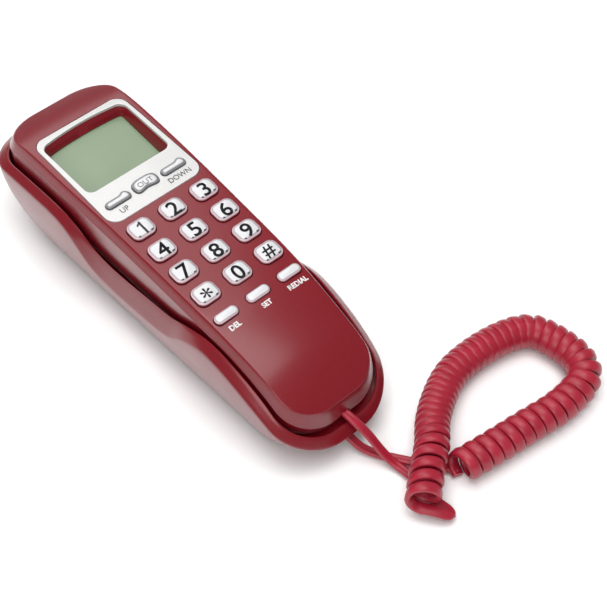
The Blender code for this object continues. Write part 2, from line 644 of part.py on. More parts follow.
def make_base_shell(finish, group, cutters):
    def wall_ring(fraction, inset=0.0):
        return at_height(hull_outline(fraction, inset),
                         lambda y: FOOT_HEIGHT + fraction * (band_height(y) - FOOT_HEIGHT))

    cavity_top = at_height(hull_outline(0.40, WALL + 0.0006), lambda y: tray_floor(y) - WALL)
    loops = [cavity_top, wall_ring(0.25, WALL), wall_ring(0.0, WALL),
             wall_ring(0.0), wall_ring(0.15), wall_ring(0.35),
             wall_ring(0.65), wall_ring(1.0),
             at_height(tray_outline(0.0), rim_height),
             at_height(tray_outline(-0.0004), lambda y: rim_height(y) - 0.0008),
             at_height(tray_outline(-0.0007), tray_floor)]
    shell = add_object("base_upper_shell", loft("base_upper_shell", loops, "mirrored"), finish, group)

    def cut(name, cutter_mesh, operation="DIFFERENCE"):
        boolean(shell, as_cutter(add_object(name, cutter_mesh, finish, cutters)), operation)

    bosses = bmesh.new()
    for x, y in BASE_SCREWS:
        add_prism(bosses, circle(0.0032, 12, (x, y)), PILLAR_TOP + GAP, tray_floor(y) - 0.0008)
    cut("base_bosses", mesh_from(bosses, "base_bosses"), "UNION")
    holes = bmesh.new()
    for x, y in BASE_SCREWS:
        add_prism(holes, circle(SCREW_SHANK + GAP, 10, (x, y)), PILLAR_TOP - 0.001, PILLAR_TOP + 0.0055)
    add_prism(holes, rounded_rectangle((0.0066, 0.0090), 0.0010, 2, (0.0, HOOK_Y)), 0.0120, 0.0300)
    cut("base_holes", mesh_from(holes, "base_holes"))
    low, high = grown(LINE_SOCKET, GAP)
    cut("line_opening", box("line_opening", low, (high[0], 0.1050, high[2])))
    low, high = grown(BASE_SOCKET, GAP)
    cut("cord_opening", box("cord_opening", (low[0], -0.1050, low[2]), (high[0], -0.0800, high[2])))
    slot_low = (0.0240, RINGER_Y - 0.0058, RINGER_Z - 0.0022)
    slot_high = (0.0360, RINGER_Y + 0.0058, RINGER_Z + 0.0022)
    cut("ringer_slot", box("ringer_slot", slot_low, slot_high))


def make_bottom_cover(finish, group, cutters):
    plate = loft("base_bottom_cover", [at_height(hull_outline(0.0, WALL + GAP), FOOT_HEIGHT),
                                       at_height(hull_outline(0.0, WALL + GAP), FOOT_HEIGHT + 0.0020)])
    cover = add_object("base_bottom_cover", plate, finish, group)
    pillars = bmesh.new()
    for x, y in BASE_SCREWS:
        add_prism(pillars, circle(0.0046, 14, (x, y)), FOOT_HEIGHT + 0.0008, PILLAR_TOP)
    cutter = add_object("cover_pillars", mesh_from(pillars, "cover_pillars"), finish, cutters)
    boolean(cover, as_cutter(cutter), "UNION")
    holes = bmesh.new()
    for centre in BASE_SCREWS:
        add_bore(holes, centre, -0.001, BASE_SHOULDER, PILLAR_TOP + 0.001)
    for i in range(-2, 3):
        centre = (0.0, RINGER_SPEAKER_Y + SPEAKER_SLOT_PITCH * i)
        slot = rounded_rectangle((0.0150 - 0.0030 * abs(i), 0.0016), 0.0007, 2, centre)
        add_prism(holes, slot, -0.001, FOOT_HEIGHT + 0.004)
    cutter = add_object("bottom_cover_holes", mesh_from(holes, "bottom_cover_holes"), finish, cutters)
    boolean(cover, as_cutter(cutter))


def make_base_inside(finishes, group, cutters):
    def put(name, mesh, finish):
        return add_object(name, mesh, finishes[finish], group)

    inside = FOOT_HEIGHT + 0.0020 + GAP
    board_top = BOARD_Z + BOARD_THICKNESS
    board = box("base_circuit_board", (-0.0150, -0.0080, BOARD_Z), (0.0150, 0.0520, board_top))
    put("base_circuit_board", board, "board")
    top = board_top + GAP
    spring = ring_loops(0.0029, 0.0019, top, HOOK_FOOT - GAP, HOOK_Y, 14)
    put("hook_spring", loft("hook_spring", spring, "joined"), "steel")
    crown = tray_floor(HOOK_Y) + TRAY_GAP - 2 * GAP
    flange, stem, tip = (0.0110, 0.0130), (0.0060, 0.0084), (0.0048, 0.0072)
    levels = ((flange, HOOK_FOOT), (flange, HOOK_FOOT + 0.0010), (stem, HOOK_FOOT + 0.0010),
              (stem, crown - 0.0008), (tip, crown))
    plunger = [at_height(rounded_rectangle(size, 0.0009, 2, (0.0, HOOK_Y)), height)
               for size, height in levels]
    put("hook_plunger", loft("hook_plunger", plunger), "white")
    switch = box("hook_switch", (0.0072, HOOK_Y - 0.0060, top), (0.0130, HOOK_Y + 0.0060, top + 0.0062))
    put("hook_switch", switch, "black")
    speaker = [at_height(circle(r, 24, (0.0, RINGER_SPEAKER_Y)), inside + z)
               for r, z in ((0.0125, 0.0), (0.0125, 0.0026), (0.0075, 0.0026), (0.0075, 0.0058))]
    put("ringer_speaker", loft("ringer_speaker", speaker), "black")
    def socket(name, corners, bay_low, bay_high):
        made = put(name, box(name, *corners), "black")
        bay = box(name + "_bay", bay_low, bay_high)
        boolean(made, as_cutter(add_object(name + "_bay", bay, finishes["black"], cutters)))

    socket("line_socket", LINE_SOCKET, (-0.0048, 0.0705, 0.0072), (0.0048, 0.0910, 0.0128))
    socket("base_cord_socket", BASE_SOCKET, (-0.0041, -0.0910, BASE_PLUG_Z - 0.0027),
           (0.0041, -0.0775, BASE_PLUG_Z + 0.0027))
    body = box("ringer_switch_body", (0.0185, RINGER_Y - 0.0065, RINGER_Z - 0.0028),
               (0.0245, RINGER_Y + 0.0065, RINGER_Z + 0.0028))
    put("ringer_switch_body", body, "black")
    knob = box("ringer_switch_knob", (0.0249, RINGER_Y - 0.0022, RINGER_Z - 0.0016),
               (0.0308, RINGER_Y + 0.0022, RINGER_Z + 0.0016))
    put("ringer_switch_knob", knob, "black")
    for number, centre in enumerate(BASE_SCREWS, 1):
        name = f"base_screw_{number}"
        put(name, screw(name, centre, BASE_SHOULDER - GAP, BASE_SCREW_LENGTH), "steel")
    for number, centre in enumerate(RUBBER_FEET, 1):
        name = f"rubber_foot_{number}"
        put(name, cylinder(name, 0.0042, 0.0, FOOT_HEIGHT - GAP, 16, centre), "rubber")


# ------------------------------------------------------------------ the cord
def smooth_route(route, spacing):
    """Evenly spaced points on the smooth curve through a route's points."""
    points = [Vector(point) for point in route]
    fine = []
    for i in range(len(points) - 1):
        before = points[max(i - 1, 0)]
        after = points[min(i + 2, len(points) - 1)]
        start, end = points[i], points[i + 1]
        for step in range(20):
            t = step / 20
            fine.append(0.5 * (2 * start + (end - before) * t
                               + (2 * before - 5 * start + 4 * end - after) * t**2
                               + (3 * start - before - 3 * end + after) * t**3))
    fine.append(points[-1])
    lengths = [0.0]
    for a, b in zip(fine, fine[1:]):
        lengths.append(lengths[-1] + (b - a).length)
    count = max(2, round(lengths[-1] / spacing))
    even, place = [], 0
    for i in range(count + 1):
        target = lengths[-1] * i / count
        while place < len(fine) - 2 and lengths[place + 1] < target:
            place += 1
        span = lengths[place + 1] - lengths[place]
        even.append(fine[place].lerp(fine[place + 1], (target - lengths[place]) / span))
    return even


def tube(name, route, spacing, radius, sides, finish, group):
    curve = bpy.data.curves.new(name, "CURVE")
    curve.dimensions = "3D"
    points = smooth_route(route, spacing)
    spline = curve.splines.new("POLY")
    spline.points.add(len(points) - 1)
    for target, point in zip(spline.points, points):
        target.co = (*point, 1.0)
    curve.bevel_depth = radius
    curve.bevel_resolution = sides // 2 - 2
    curve.use_fill_caps = True
    return add_object(name, curve, finish, group)


def make_cord(finishes, group, frame):
    half_x, half_z = PLUG_HALF
    front = SOCKET_FRONT - 0.0022
    plug = box("handset_plug", (-half_x, front, SOCKET_Z - half_z),
               (half_x, front + PLUG_LENGTH, SOCKET_Z + half_z))
    add_object("handset_plug", plug, finishes["clear"], group, frame)
    front = BASE_SOCKET[0][1] - 0.0020
    plug = box("base_plug", (-half_x, front, BASE_PLUG_Z - half_z),
               (half_x, front + PLUG_LENGTH, BASE_PLUG_Z + half_z))
    add_object("base_plug", plug, finishes["clear"], group)
    tube("handset_tail", HANDSET_TAIL_ROUTE, 0.0032, CORD_RADIUS, 8, finishes["cord"], group)
    tube("base_tail", BASE_TAIL_ROUTE, 0.0032, CORD_RADIUS, 8, finishes["cord"], group)
    tube("curly_cord_coil", COIL_ROUTE, 0.0060, COIL_RADIUS, 12, finishes["cord"], group)


def main():
    clear_scene()
    group = collection("corded_landline_phone")
    cutters = collection("cutters")
    finishes = {
        "crimson": material("crimson_plastic", (0.26, 0.014, 0.024), 0.28),
        "silver": material("silver_plate", (0.72, 0.72, 0.70), 0.35),
        "clear": material("clear_key", (0.85, 0.86, 0.87), 0.12),
        "lcd": material("lcd_green", (0.30, 0.40, 0.27), 0.25),
        "rubber": material("dark_rubber", (0.05, 0.05, 0.05), 0.8),
        "board": material("circuit_board", (0.05, 0.22, 0.10), 0.5),
        "steel": material("bright_steel", (0.60, 0.60, 0.60), 0.3, 1.0),
        "black": material("black_plastic", (0.02, 0.02, 0.02), 0.4),
        "white": material("white_plastic", (0.8, 0.8, 0.8), 0.4),
        "cord": material("crimson_cord", (0.36, 0.022, 0.045), 0.4),
    }
    frame = bpy.data.objects.new("handset_frame", None)
    frame.location = HANDSET_ORIGIN
    frame.rotation_euler = (HANDSET_TILT, 0.0, 0.0)
    group.objects.link(frame)
    make_front_cover(finishes["crimson"], group, cutters, frame)
    make_fascia(finishes["silver"], group, cutters, frame)
    make_rear_cover(finishes["crimson"], group, cutters, frame)
    for name, centre, size, radius in face_keys():
        make_key(name, centre, size, radius, finishes["clear"], group, frame)
    make_handset_inside(finishes, group, cutters, frame)
    make_base_shell(finishes["crimson"], group, cutters)
    make_bottom_cover(finishes["crimson"], group, cutters)
    make_base_inside(finishes, group, cutters)
    make_cord(finishes, group, frame)


main()
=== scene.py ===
"""Looks of the corded landline phone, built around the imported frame."""
import json
import math

import bmesh
import bpy
from mathutils import Matrix, Vector
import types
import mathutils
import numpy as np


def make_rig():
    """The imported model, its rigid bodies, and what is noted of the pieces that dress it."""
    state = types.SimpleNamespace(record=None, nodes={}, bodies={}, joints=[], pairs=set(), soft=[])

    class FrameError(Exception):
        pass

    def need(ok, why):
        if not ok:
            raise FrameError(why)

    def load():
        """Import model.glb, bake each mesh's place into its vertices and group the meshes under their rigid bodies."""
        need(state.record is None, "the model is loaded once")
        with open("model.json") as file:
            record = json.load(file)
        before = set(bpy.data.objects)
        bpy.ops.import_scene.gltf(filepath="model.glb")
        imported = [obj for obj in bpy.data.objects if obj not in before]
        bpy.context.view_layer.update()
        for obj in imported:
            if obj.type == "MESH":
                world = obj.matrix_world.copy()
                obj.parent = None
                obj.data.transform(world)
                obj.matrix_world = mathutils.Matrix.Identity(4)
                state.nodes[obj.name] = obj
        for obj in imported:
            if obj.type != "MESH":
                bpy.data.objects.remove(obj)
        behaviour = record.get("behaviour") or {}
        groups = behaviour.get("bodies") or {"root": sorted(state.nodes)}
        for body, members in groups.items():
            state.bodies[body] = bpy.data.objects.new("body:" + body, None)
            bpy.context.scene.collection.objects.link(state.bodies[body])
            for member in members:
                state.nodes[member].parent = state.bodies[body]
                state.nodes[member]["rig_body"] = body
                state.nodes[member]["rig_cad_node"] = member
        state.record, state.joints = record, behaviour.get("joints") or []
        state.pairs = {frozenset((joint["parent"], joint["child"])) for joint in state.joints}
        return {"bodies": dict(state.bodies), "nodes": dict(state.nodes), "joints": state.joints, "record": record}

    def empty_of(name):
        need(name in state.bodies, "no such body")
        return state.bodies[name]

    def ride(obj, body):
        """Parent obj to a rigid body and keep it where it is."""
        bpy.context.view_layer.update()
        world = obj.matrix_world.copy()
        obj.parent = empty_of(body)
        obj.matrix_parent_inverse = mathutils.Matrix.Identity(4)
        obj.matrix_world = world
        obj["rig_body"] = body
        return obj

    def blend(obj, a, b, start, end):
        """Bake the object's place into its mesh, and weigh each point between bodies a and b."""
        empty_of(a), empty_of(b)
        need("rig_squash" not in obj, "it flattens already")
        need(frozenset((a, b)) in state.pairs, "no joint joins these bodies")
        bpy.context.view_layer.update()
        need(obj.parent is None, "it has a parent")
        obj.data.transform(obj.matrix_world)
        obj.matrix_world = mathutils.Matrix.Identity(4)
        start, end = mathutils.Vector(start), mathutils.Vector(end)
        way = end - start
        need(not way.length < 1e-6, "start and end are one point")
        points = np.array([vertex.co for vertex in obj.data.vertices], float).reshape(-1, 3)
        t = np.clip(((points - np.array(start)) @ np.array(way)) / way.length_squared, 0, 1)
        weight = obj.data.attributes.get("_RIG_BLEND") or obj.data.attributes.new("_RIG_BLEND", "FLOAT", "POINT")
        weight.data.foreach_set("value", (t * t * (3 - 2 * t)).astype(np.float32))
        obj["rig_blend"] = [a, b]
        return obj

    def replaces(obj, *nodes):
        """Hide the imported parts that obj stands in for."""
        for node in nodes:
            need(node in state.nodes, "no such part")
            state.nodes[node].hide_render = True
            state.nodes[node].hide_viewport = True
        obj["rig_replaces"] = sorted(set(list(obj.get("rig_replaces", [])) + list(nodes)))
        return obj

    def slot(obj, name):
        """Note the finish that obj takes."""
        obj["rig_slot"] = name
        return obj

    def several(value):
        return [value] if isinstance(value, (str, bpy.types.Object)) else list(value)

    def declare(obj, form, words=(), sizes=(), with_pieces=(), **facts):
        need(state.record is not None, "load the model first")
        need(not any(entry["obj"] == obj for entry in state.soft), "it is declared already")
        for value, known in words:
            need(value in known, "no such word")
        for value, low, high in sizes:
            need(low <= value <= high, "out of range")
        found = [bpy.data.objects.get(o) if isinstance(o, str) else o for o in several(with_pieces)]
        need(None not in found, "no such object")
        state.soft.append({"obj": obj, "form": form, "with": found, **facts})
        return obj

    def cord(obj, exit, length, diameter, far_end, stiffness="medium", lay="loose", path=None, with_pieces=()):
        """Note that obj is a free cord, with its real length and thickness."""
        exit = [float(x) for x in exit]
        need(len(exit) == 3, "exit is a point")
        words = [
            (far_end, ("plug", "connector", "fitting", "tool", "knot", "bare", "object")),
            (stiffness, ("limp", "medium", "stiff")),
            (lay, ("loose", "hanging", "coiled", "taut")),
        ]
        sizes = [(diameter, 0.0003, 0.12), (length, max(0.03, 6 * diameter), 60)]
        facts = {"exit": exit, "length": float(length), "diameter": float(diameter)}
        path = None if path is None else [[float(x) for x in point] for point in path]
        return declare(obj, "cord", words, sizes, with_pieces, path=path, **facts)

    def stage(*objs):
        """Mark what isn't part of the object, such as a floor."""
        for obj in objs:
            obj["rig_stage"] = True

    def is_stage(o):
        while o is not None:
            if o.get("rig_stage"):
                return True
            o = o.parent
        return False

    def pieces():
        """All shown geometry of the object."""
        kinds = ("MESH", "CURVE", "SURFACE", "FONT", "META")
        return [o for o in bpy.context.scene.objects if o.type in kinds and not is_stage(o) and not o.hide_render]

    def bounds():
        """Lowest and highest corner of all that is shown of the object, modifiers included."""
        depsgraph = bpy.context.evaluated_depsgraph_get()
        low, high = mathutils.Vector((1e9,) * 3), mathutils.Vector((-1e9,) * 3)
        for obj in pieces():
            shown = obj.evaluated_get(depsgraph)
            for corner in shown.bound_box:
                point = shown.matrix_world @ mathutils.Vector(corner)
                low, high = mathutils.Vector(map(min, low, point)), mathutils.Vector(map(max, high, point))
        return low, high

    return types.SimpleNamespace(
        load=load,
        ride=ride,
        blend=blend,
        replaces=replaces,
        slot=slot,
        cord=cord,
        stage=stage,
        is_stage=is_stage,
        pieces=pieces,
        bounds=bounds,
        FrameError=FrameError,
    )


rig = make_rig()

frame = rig.load()
cad_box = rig.bounds()

# ------------------------------------------------------------------ shared sizes, in metres
HANDSET_ORIGIN = Vector((0.0, 0.0080, 0.0509))
HANDSET_TILT = math.radians(4.5)
TO_WORLD = Matrix.Translation(HANDSET_ORIGIN) @ Matrix.Rotation(HANDSET_TILT, 4, "X")
HANDSET_FRONT, HANDSET_BACK = -0.1010, 0.0825
HANDSET_CORNER_FRONT, HANDSET_CORNER_BACK = (0.0150, 0.0125), (0.0160, 0.0130)
BEVEL_OUT = 0.0018
SHARP_ANGLE = 32
WALL = 0.0018
GAP = 0.0003
KEY_PITCH_X, KEY_PITCH_Y = 0.0155, 0.0131
KEY_SIZE = (0.0106, 0.0090)
KEY_CORNER, OBLONG_CORNER = 0.0030, 0.0020
KEY_PROUD, FASCIA_KEY_PROUD = 0.0018, 0.0014
CAP_FOOT, OBLONG_RIM, LEAST_KEY_CORNER = 0.0060, 0.6, 0.0006
OBLONG_ROW_Y = -3 * KEY_PITCH_Y - 0.01205
OBLONG_SIZE = (0.0106, 0.0044)
FASCIA_KEY_X, FASCIA_KEY_Y = 0.0137, 0.0170
FASCIA_KEY_SIZE = (0.0122, 0.0040)
CALL_KEY_SIZE, CALL_KEY_UP = (0.0122, 0.0074), 0.0003
FASCIA_FRONT, FASCIA_BACK = 0.0083, 0.0632
FASCIA_HALF_WIDTH = ((FASCIA_FRONT, 0.0229), (FASCIA_BACK, 0.0220))
FASCIA_CORNERS = (0.0056, 0.0046)
FASCIA_TOP = 0.0002
FASCIA_RECESS = 0.0014
WINDOW_FRONT, WINDOW_BACK, WINDOW_HALF = 0.0268, 0.0592, 0.0204
WINDOW_CORNER, LEAST_CORNER = 0.0034, 0.0012
# The hole in the front cover is wider than the window by this, for the well's wall.
WELL_WALL = 0.0010
# The far edges of the fascia and its window rise to an arch over this length.
FASCIA_ARCH, WINDOW_ARCH, ARCH_LENGTH = 0.0018, 0.0024, 0.012
# Centre and size of each opening that a fascia key stands in, hidden under the key's cap.
FASCIA_HOLES = (((-FASCIA_KEY_X, FASCIA_KEY_Y), (0.0100, 0.0026)),
                ((0.0, FASCIA_KEY_Y), (0.0080, 0.0030)),
                ((FASCIA_KEY_X, FASCIA_KEY_Y), (0.0100, 0.0026)))
FASCIA_HOLE_CORNER = 0.0012
# Openings in the face are cut between these heights, well below and well above it.
CUT_LOW, CUT_HIGH = -0.0120, 0.0040

INK_THICKNESS = 0.00003
BOLD_COPIES = 8
FIGURE_HEIGHT, FIGURE_BOLD, FIGURE_DOWN = 0.0066, 0.00016, 0.0004
SYMBOLS = {"star": ("*", 0.0048), "hash": ("#", 0.0058)}
SYMBOL_BOLD = 0.00010
OBLONG_LABEL_HEIGHT, OBLONG_LABEL_BOLD, OBLONG_LABEL_DOWN = 0.0021, 0.00011, 0.0053
FASCIA_LABEL_HEIGHT, FASCIA_LABEL_LEFT, FASCIA_LABEL_DOWN = 0.0025, 0.0005, 0.0048
OBLONG_LABEL_SQUEEZE, FASCIA_LABEL_SQUEEZE = 0.94, 0.92
CALL_WORD_HEIGHT, CALL_WORD_UP = 0.0024, 0.0002
# Height of each lettering over what it lies on. The fascia stands proud of the face itself.
FIGURE_LIFT, OBLONG_LABEL_LIFT, FASCIA_LABEL_LIFT = 0.00002, 0.00003, 0.00023
DARK_SPECK_DEPTH, DARK_SPECK_CORNER, DARK_SPECK_UP = 0.0006, 0.0002, 0.0012
# Place along X and width of each dark speck in a digit key.
DARK_SPECKS = ((-0.0031, 0.0009), (0.0029, 0.0012))

# Slots over the earpiece and the microphone, and the screws' holes, in the handset's underside.
EAR_Y, EAR_SLOT, EAR_PITCH, EAR_SHORTER = 0.0500, (0.0018, 0.0160), 0.0036, 0.0030
EAR_CORNER, EAR_CUT = 0.0008, (-0.0360, -0.0280)
MOUTH_Y, MOUTH_SLOT, MOUTH_PITCH = -0.0760, (0.0014, 0.0050), 0.0030
MOUTH_CORNER, MOUTH_CUT = 0.0006, (-0.0320, -0.0240)
SCREW_PLACES, SCREW_HOLE, SCREW_HOLE_CORNER = (-0.0636, 0.0725), (0.0058, 0.0058), 0.00289
SCREW_CUT_BELOW, SCREW_CUT_ABOVE = 0.003, 0.004

BASE_END = 0.0978
BASE_CORNER_FRONT, BASE_CORNER_BACK = (0.0190, 0.0170), (0.0190, 0.0160)
FOOT_HEIGHT = 0.0010
RIM_GAP = 0.0013
TRAY_GAP = 0.0010
TRAY_SHIFT = 0.0012
# The tray's mouth narrows by these amounts just under the rim and at its floor.
LIP_IN, LIP_DROP, TRAY_IN = 0.0004, 0.0008, 0.0007
CAVITY_FRACTION, CAVITY_CLEARANCE = 0.40, 0.0006
SIDE_UNDERCUT, FRONT_UNDERCUT, BACK_UNDERCUT = 0.0066, 0.0140, 0.0200
SIDE_POWER, FRONT_POWER, BACK_POWER = 2.6, 1.4, 1.7
WALL_FULL = 0.0370
# Opposite corners of each opening in the base.
BASE_OPENINGS = (
    ("line_opening", (-0.0063, 0.0660, 0.0057), (0.0063, 0.1050, 0.0143)),
    ("cord_opening", (-0.0058, -0.1050, 0.0034), (0.0058, -0.0800, 0.0104)),
    ("ringer_slot", (0.0240, 0.0502, 0.0118), (0.0360, 0.0618, 0.0162)),
    ("hook_hole", (-0.0033, 0.0285, 0.0120), (0.0033, 0.0375, 0.0300)))

# The cord leaves the handset through a notch in each of its covers.
SOCKET_Z = -0.0234
NOTCH_FRONT, NOTCH_BACK = -0.1100, -0.0985
FRONT_NOTCH_HALF, FRONT_NOTCH_LOW, FRONT_NOTCH_HIGH = 0.0024, SOCKET_Z - 0.0024, SOCKET_Z + 0.0015
REAR_NOTCH_HALF, REAR_NOTCH_LOW, REAR_NOTCH_HIGH = 0.0030, SOCKET_Z - 0.0110, SOCKET_Z + 0.0024

CORD_WIDTH = 0.0048
CORD_THICKNESS = 0.0025
STRAND_LEAN = math.radians(11)
COIL_RADIUS = 0.0073
TURN_STEPS = 22
RIBBON_WIDTH, RIBBON_THICKNESS = 0.0037, 0.0024
RIBBON_SIDES, RIBBON_GROOVE = 28, 0.30
TAIL_SPACING, BIGHT_SPACING, AXIS_SPACING = 0.0012, 0.0010, 0.0005

# Profiles are (position along Y, value), joined by smooth curves.
FACE_HEIGHT = ((-0.1030, -0.0165), (-0.0930, -0.0117), (-0.0800, -0.0072), (-0.0600, -0.0036),
               (-0.0400, -0.0020), (-0.0100, -0.0017), (0.0100, -0.0018), (0.0420, -0.0032),
               (0.0560, -0.0041), (0.0650, -0.0054), (0.0740, -0.0082), (0.0840, -0.0128))
FACE_HALF_WIDTH = ((-0.1030, 0.0207), (-0.0800, 0.0214), (-0.0410, 0.0230), (0.0, 0.0240),
                   (0.0420, 0.0251), (0.0840, 0.0253))
CROWN = ((-0.1030, 0.0004), (-0.0850, 0.0012), (-0.0600, 0.0011), (-0.0400, 0.0005),
         (0.0, 0.0003), (0.0600, 0.0004), (0.0840, 0.0010))
BEVEL_DROP = ((-0.1050, 0.0070), (-0.0860, 0.0056), (-0.0600, 0.0044), (0.0840, 0.0044))
REAR_HEIGHT = ((-0.1030, -0.0285), (-0.0850, -0.0285), (-0.0500, -0.0268), (0.0, -0.0288),
               (0.0400, -0.0322), (0.0840, -0.0334))
BASE_HALF_WIDTH = ((-0.0978, 0.0266), (-0.0800, 0.0282), (-0.0550, 0.0290), (0.0, 0.0304),
                   (0.0500, 0.0316), (0.0978, 0.0318))
BAND_HEIGHT = ((-0.0978, 0.0120), (-0.0875, 0.0180), (-0.0725, 0.0270), (-0.0575, 0.0332),
               (-0.0445, 0.0353), (-0.0325, 0.0312), (-0.0225, 0.0236), (-0.0105, 0.0206),
               (0.0125, 0.0196), (0.0245, 0.0220), (0.0365, 0.0325), (0.0455, 0.0366),
               (0.0650, 0.0366), (0.0978, 0.0345))
RIM_HEIGHT = ((-0.0978, 0.0148), (-0.0875, 0.0214), (-0.0725, 0.0310), (-0.0575, 0.0370),
              (-0.0445, 0.0394), (-0.0325, 0.0368), (-0.0225, 0.0332), (-0.0105, 0.0318),
              (0.0125, 0.0300), (0.0245, 0.0316), (0.0365, 0.0374), (0.0455, 0.0398),
              (0.0650, 0.0397), (0.0978, 0.0370))

HANDSET_TAIL_ROUTE = (
    (0.0, -0.0894, 0.0195), (0.0003, -0.0930, 0.0195), (0.0012, -0.0980, 0.0178),
    (0.0030, -0.1033, 0.0132), (0.0048, -0.1085, 0.0070), (0.0064, -0.1135, 0.0032),
    (0.0074, -0.1185, 0.0021), (0.0080, -0.1245, 0.0019), (0.0078, -0.1300, 0.0019),
    (0.0066, -0.1350, 0.0019))
BASE_TAIL_ROUTE = (
    (0.0, -0.0914, 0.0068), (0.0003, -0.0950, 0.0064), (0.0018, -0.1005, 0.0036),
    (0.0052, -0.1065, 0.0020), (0.0092, -0.1125, 0.0019), (0.0130, -0.1180, 0.0019),
    (0.0168, -0.1235, 0.0019), (0.0205, -0.1283, 0.0020), (0.0232, -0.1315, 0.0024))
COIL_ROUTE = (
    (-0.0007, -0.1359, 0.0114), (0.0095, -0.1278, 0.0114), (0.0190, -0.1207, 0.0106),
    (0.0281, -0.1121, 0.0088), (0.0397, -0.1047, 0.0077), (0.0504, -0.1006, 0.0074),
    (0.0625, -0.0997, 0.0074), (0.0742, -0.1009, 0.0074), (0.0831, -0.1034, 0.0074),
    (0.0886, -0.1070, 0.0074), (0.0912, -0.1125, 0.0074), (0.0926, -0.1201, 0.0074),
    (0.0928, -0.1270, 0.0074), (0.0909, -0.1331, 0.0074), (0.0865, -0.1370, 0.0074),
    (0.0791, -0.1388, 0.0074), (0.0675, -0.1391, 0.0074), (0.0553, -0.1375, 0.0074),
    (0.0434, -0.1361, 0.0074), (0.0330, -0.1348, 0.0074), (0.0250, -0.1336, 0.0074),
    (0.0215, -0.1331, 0.0074))
# The cord goes from the handset's tail to the coil's first turn in a small bight.
BIGHT_ROUTE = (
    (0.0066, -0.1350, 0.0019), (0.0072, -0.1385, 0.0019), (0.0074, -0.1415, 0.0023),
    (0.0062, -0.1436, 0.0034), (0.0040, -0.1420, 0.0048), (0.0018, -0.1391, 0.0056))
# Turns of the coil passed at each distance along its route: open at both ends, dense between.
COIL_TURNS = ((0.0, 0.25), (0.030, 6.0), (0.062, 15.4), (0.100, 25.4), (0.134, 33.0),
              (0.2015, 46.25))


# ------------------------------------------------------------------ camera
def make_camera():
    data = bpy.data.cameras.new("camera")
    data.sensor_width = 36.0
    data.lens = 87.50
    data.clip_start = 0.01
    camera = bpy.data.objects.new("camera", data)
    camera.location = (-0.217457, -0.314462, 0.480272)
    azimuth, elevation, roll = (math.radians(angle) for angle in (-41.541, 51.785, 0.079))
    camera.rotation_euler = (math.pi / 2 - elevation, 0.0, azimuth)
    camera.rotation_euler.rotate_axis("Z", roll)
    bpy.context.scene.collection.objects.link(camera)
    bpy.context.scene.camera = camera


make_camera()


# ------------------------------------------------------------------ helpers
def smooth(profile, at):
    """Value at a position on the smooth curve through a profile's points."""
    if at <= profile[0][0]:
        return profile[0][1]
    if at >= profile[-1][0]:
        return profile[-1][1]
    slopes = []
    for i, point in enumerate(profile):
        before = profile[max(i - 1, 0)]
        after = profile[min(i + 1, len(profile) - 1)]
        slopes.append((after[1] - before[1]) / (after[0] - before[0]))
    for i in range(len(profile) - 1):
        start, end = profile[i], profile[i + 1]
        if at <= end[0]:
            span = end[0] - start[0]
            t = (at - start[0]) / span
            return ((2 * t**3 - 3 * t**2 + 1) * start[1] + (t**3 - 2 * t**2 + t) * span * slopes[i]
                    + (3 * t**2 - 2 * t**3) * end[1] + (t**3 - t**2) * span * slopes[i + 1])
    return profile[-1][1]


def face_height(y):
    return smooth(FACE_HEIGHT, y)


def part_height(y):
    return face_height(y) - smooth(BEVEL_DROP, y)


def rear_height(y):
    return smooth(REAR_HEIGHT, y)


def outline(half_width, front, back, corner_front, corner_back, steps=90, corner_steps=18):
    """Closed plan outline, mirrored about X = 0: up the right side, then down the left."""
    right = []
    for i in range(corner_steps + 1):
        turn = math.pi / 2 * i / corner_steps
        y = front + corner_front[1] * (1 - math.cos(turn))
        right.append((half_width(y) - corner_front[0] * (1 - math.sin(turn)), y))
    start, end = front + corner_front[1], back - corner_back[1]
    for i in range(1, steps):
        y = start + (end - start) * i / steps
        right.append((half_width(y), y))
    for i in range(corner_steps + 1):
        turn = math.pi / 2 * i / corner_steps
        y = back - corner_back[1] * (1 - math.sin(turn))
        right.append((half_width(y) - corner_back[0] * (1 - math.cos(turn)), y))
    return right + [(-x, y) for x, y in reversed(right)]


def rounded_rectangle(size, radius, steps=8, centre=(0.0, 0.0)):
    points = []
    inner = (size[0] / 2 - radius, size[1] / 2 - radius)
    for corner, (sx, sy) in enumerate(((1, 1), (-1, 1), (-1, -1), (1, -1))):
        for i in range(steps + 1):
            turn = math.pi / 2 * (corner + i / steps)
            points.append((centre[0] + sx * inner[0] + radius * math.cos(turn),
                           centre[1] + sy * inner[1] + radius * math.sin(turn)))
    return points


def at_height(points, height):
    if callable(height):
        return [(x, y, height(y)) for x, y in points]
    return [(x, y, height) for x, y in points]


def loft_into(bm, loops, ends="flat"):
    """Skin a stack of outlines. Its ends are one face, strips between mirrored points, or open."""
    rings = [[bm.verts.new(point) for point in loop] for loop in loops]
    for lower, upper in zip(rings, rings[1:]):
        for i in range(len(lower)):
            j = (i + 1) % len(lower)
            bm.faces.new((lower[i], lower[j], upper[j], upper[i]))
    for end in (rings[0], rings[-1]):
        if ends == "mirrored":
            count = len(end)
            for i in range(count // 2 - 1):
                bm.faces.new((end[i], end[i + 1], end[count - 2 - i], end[count - 1 - i]))
        elif ends == "flat":
            bm.faces.new(end)


def finish_mesh(bm, name, sharp=SHARP_ANGLE):
    bmesh.ops.recalc_face_normals(bm, faces=bm.faces)
    mesh = bpy.data.meshes.new(name)
    bm.to_mesh(mesh)
    bm.free()
    for polygon in mesh.polygons:
        polygon.use_smooth = True
    mesh.set_sharp_from_angle(angle=math.radians(sharp))
    return mesh


def loft(name, loops, ends):
    bm = bmesh.new()
    loft_into(bm, loops, ends)
    return finish_mesh(bm, name)


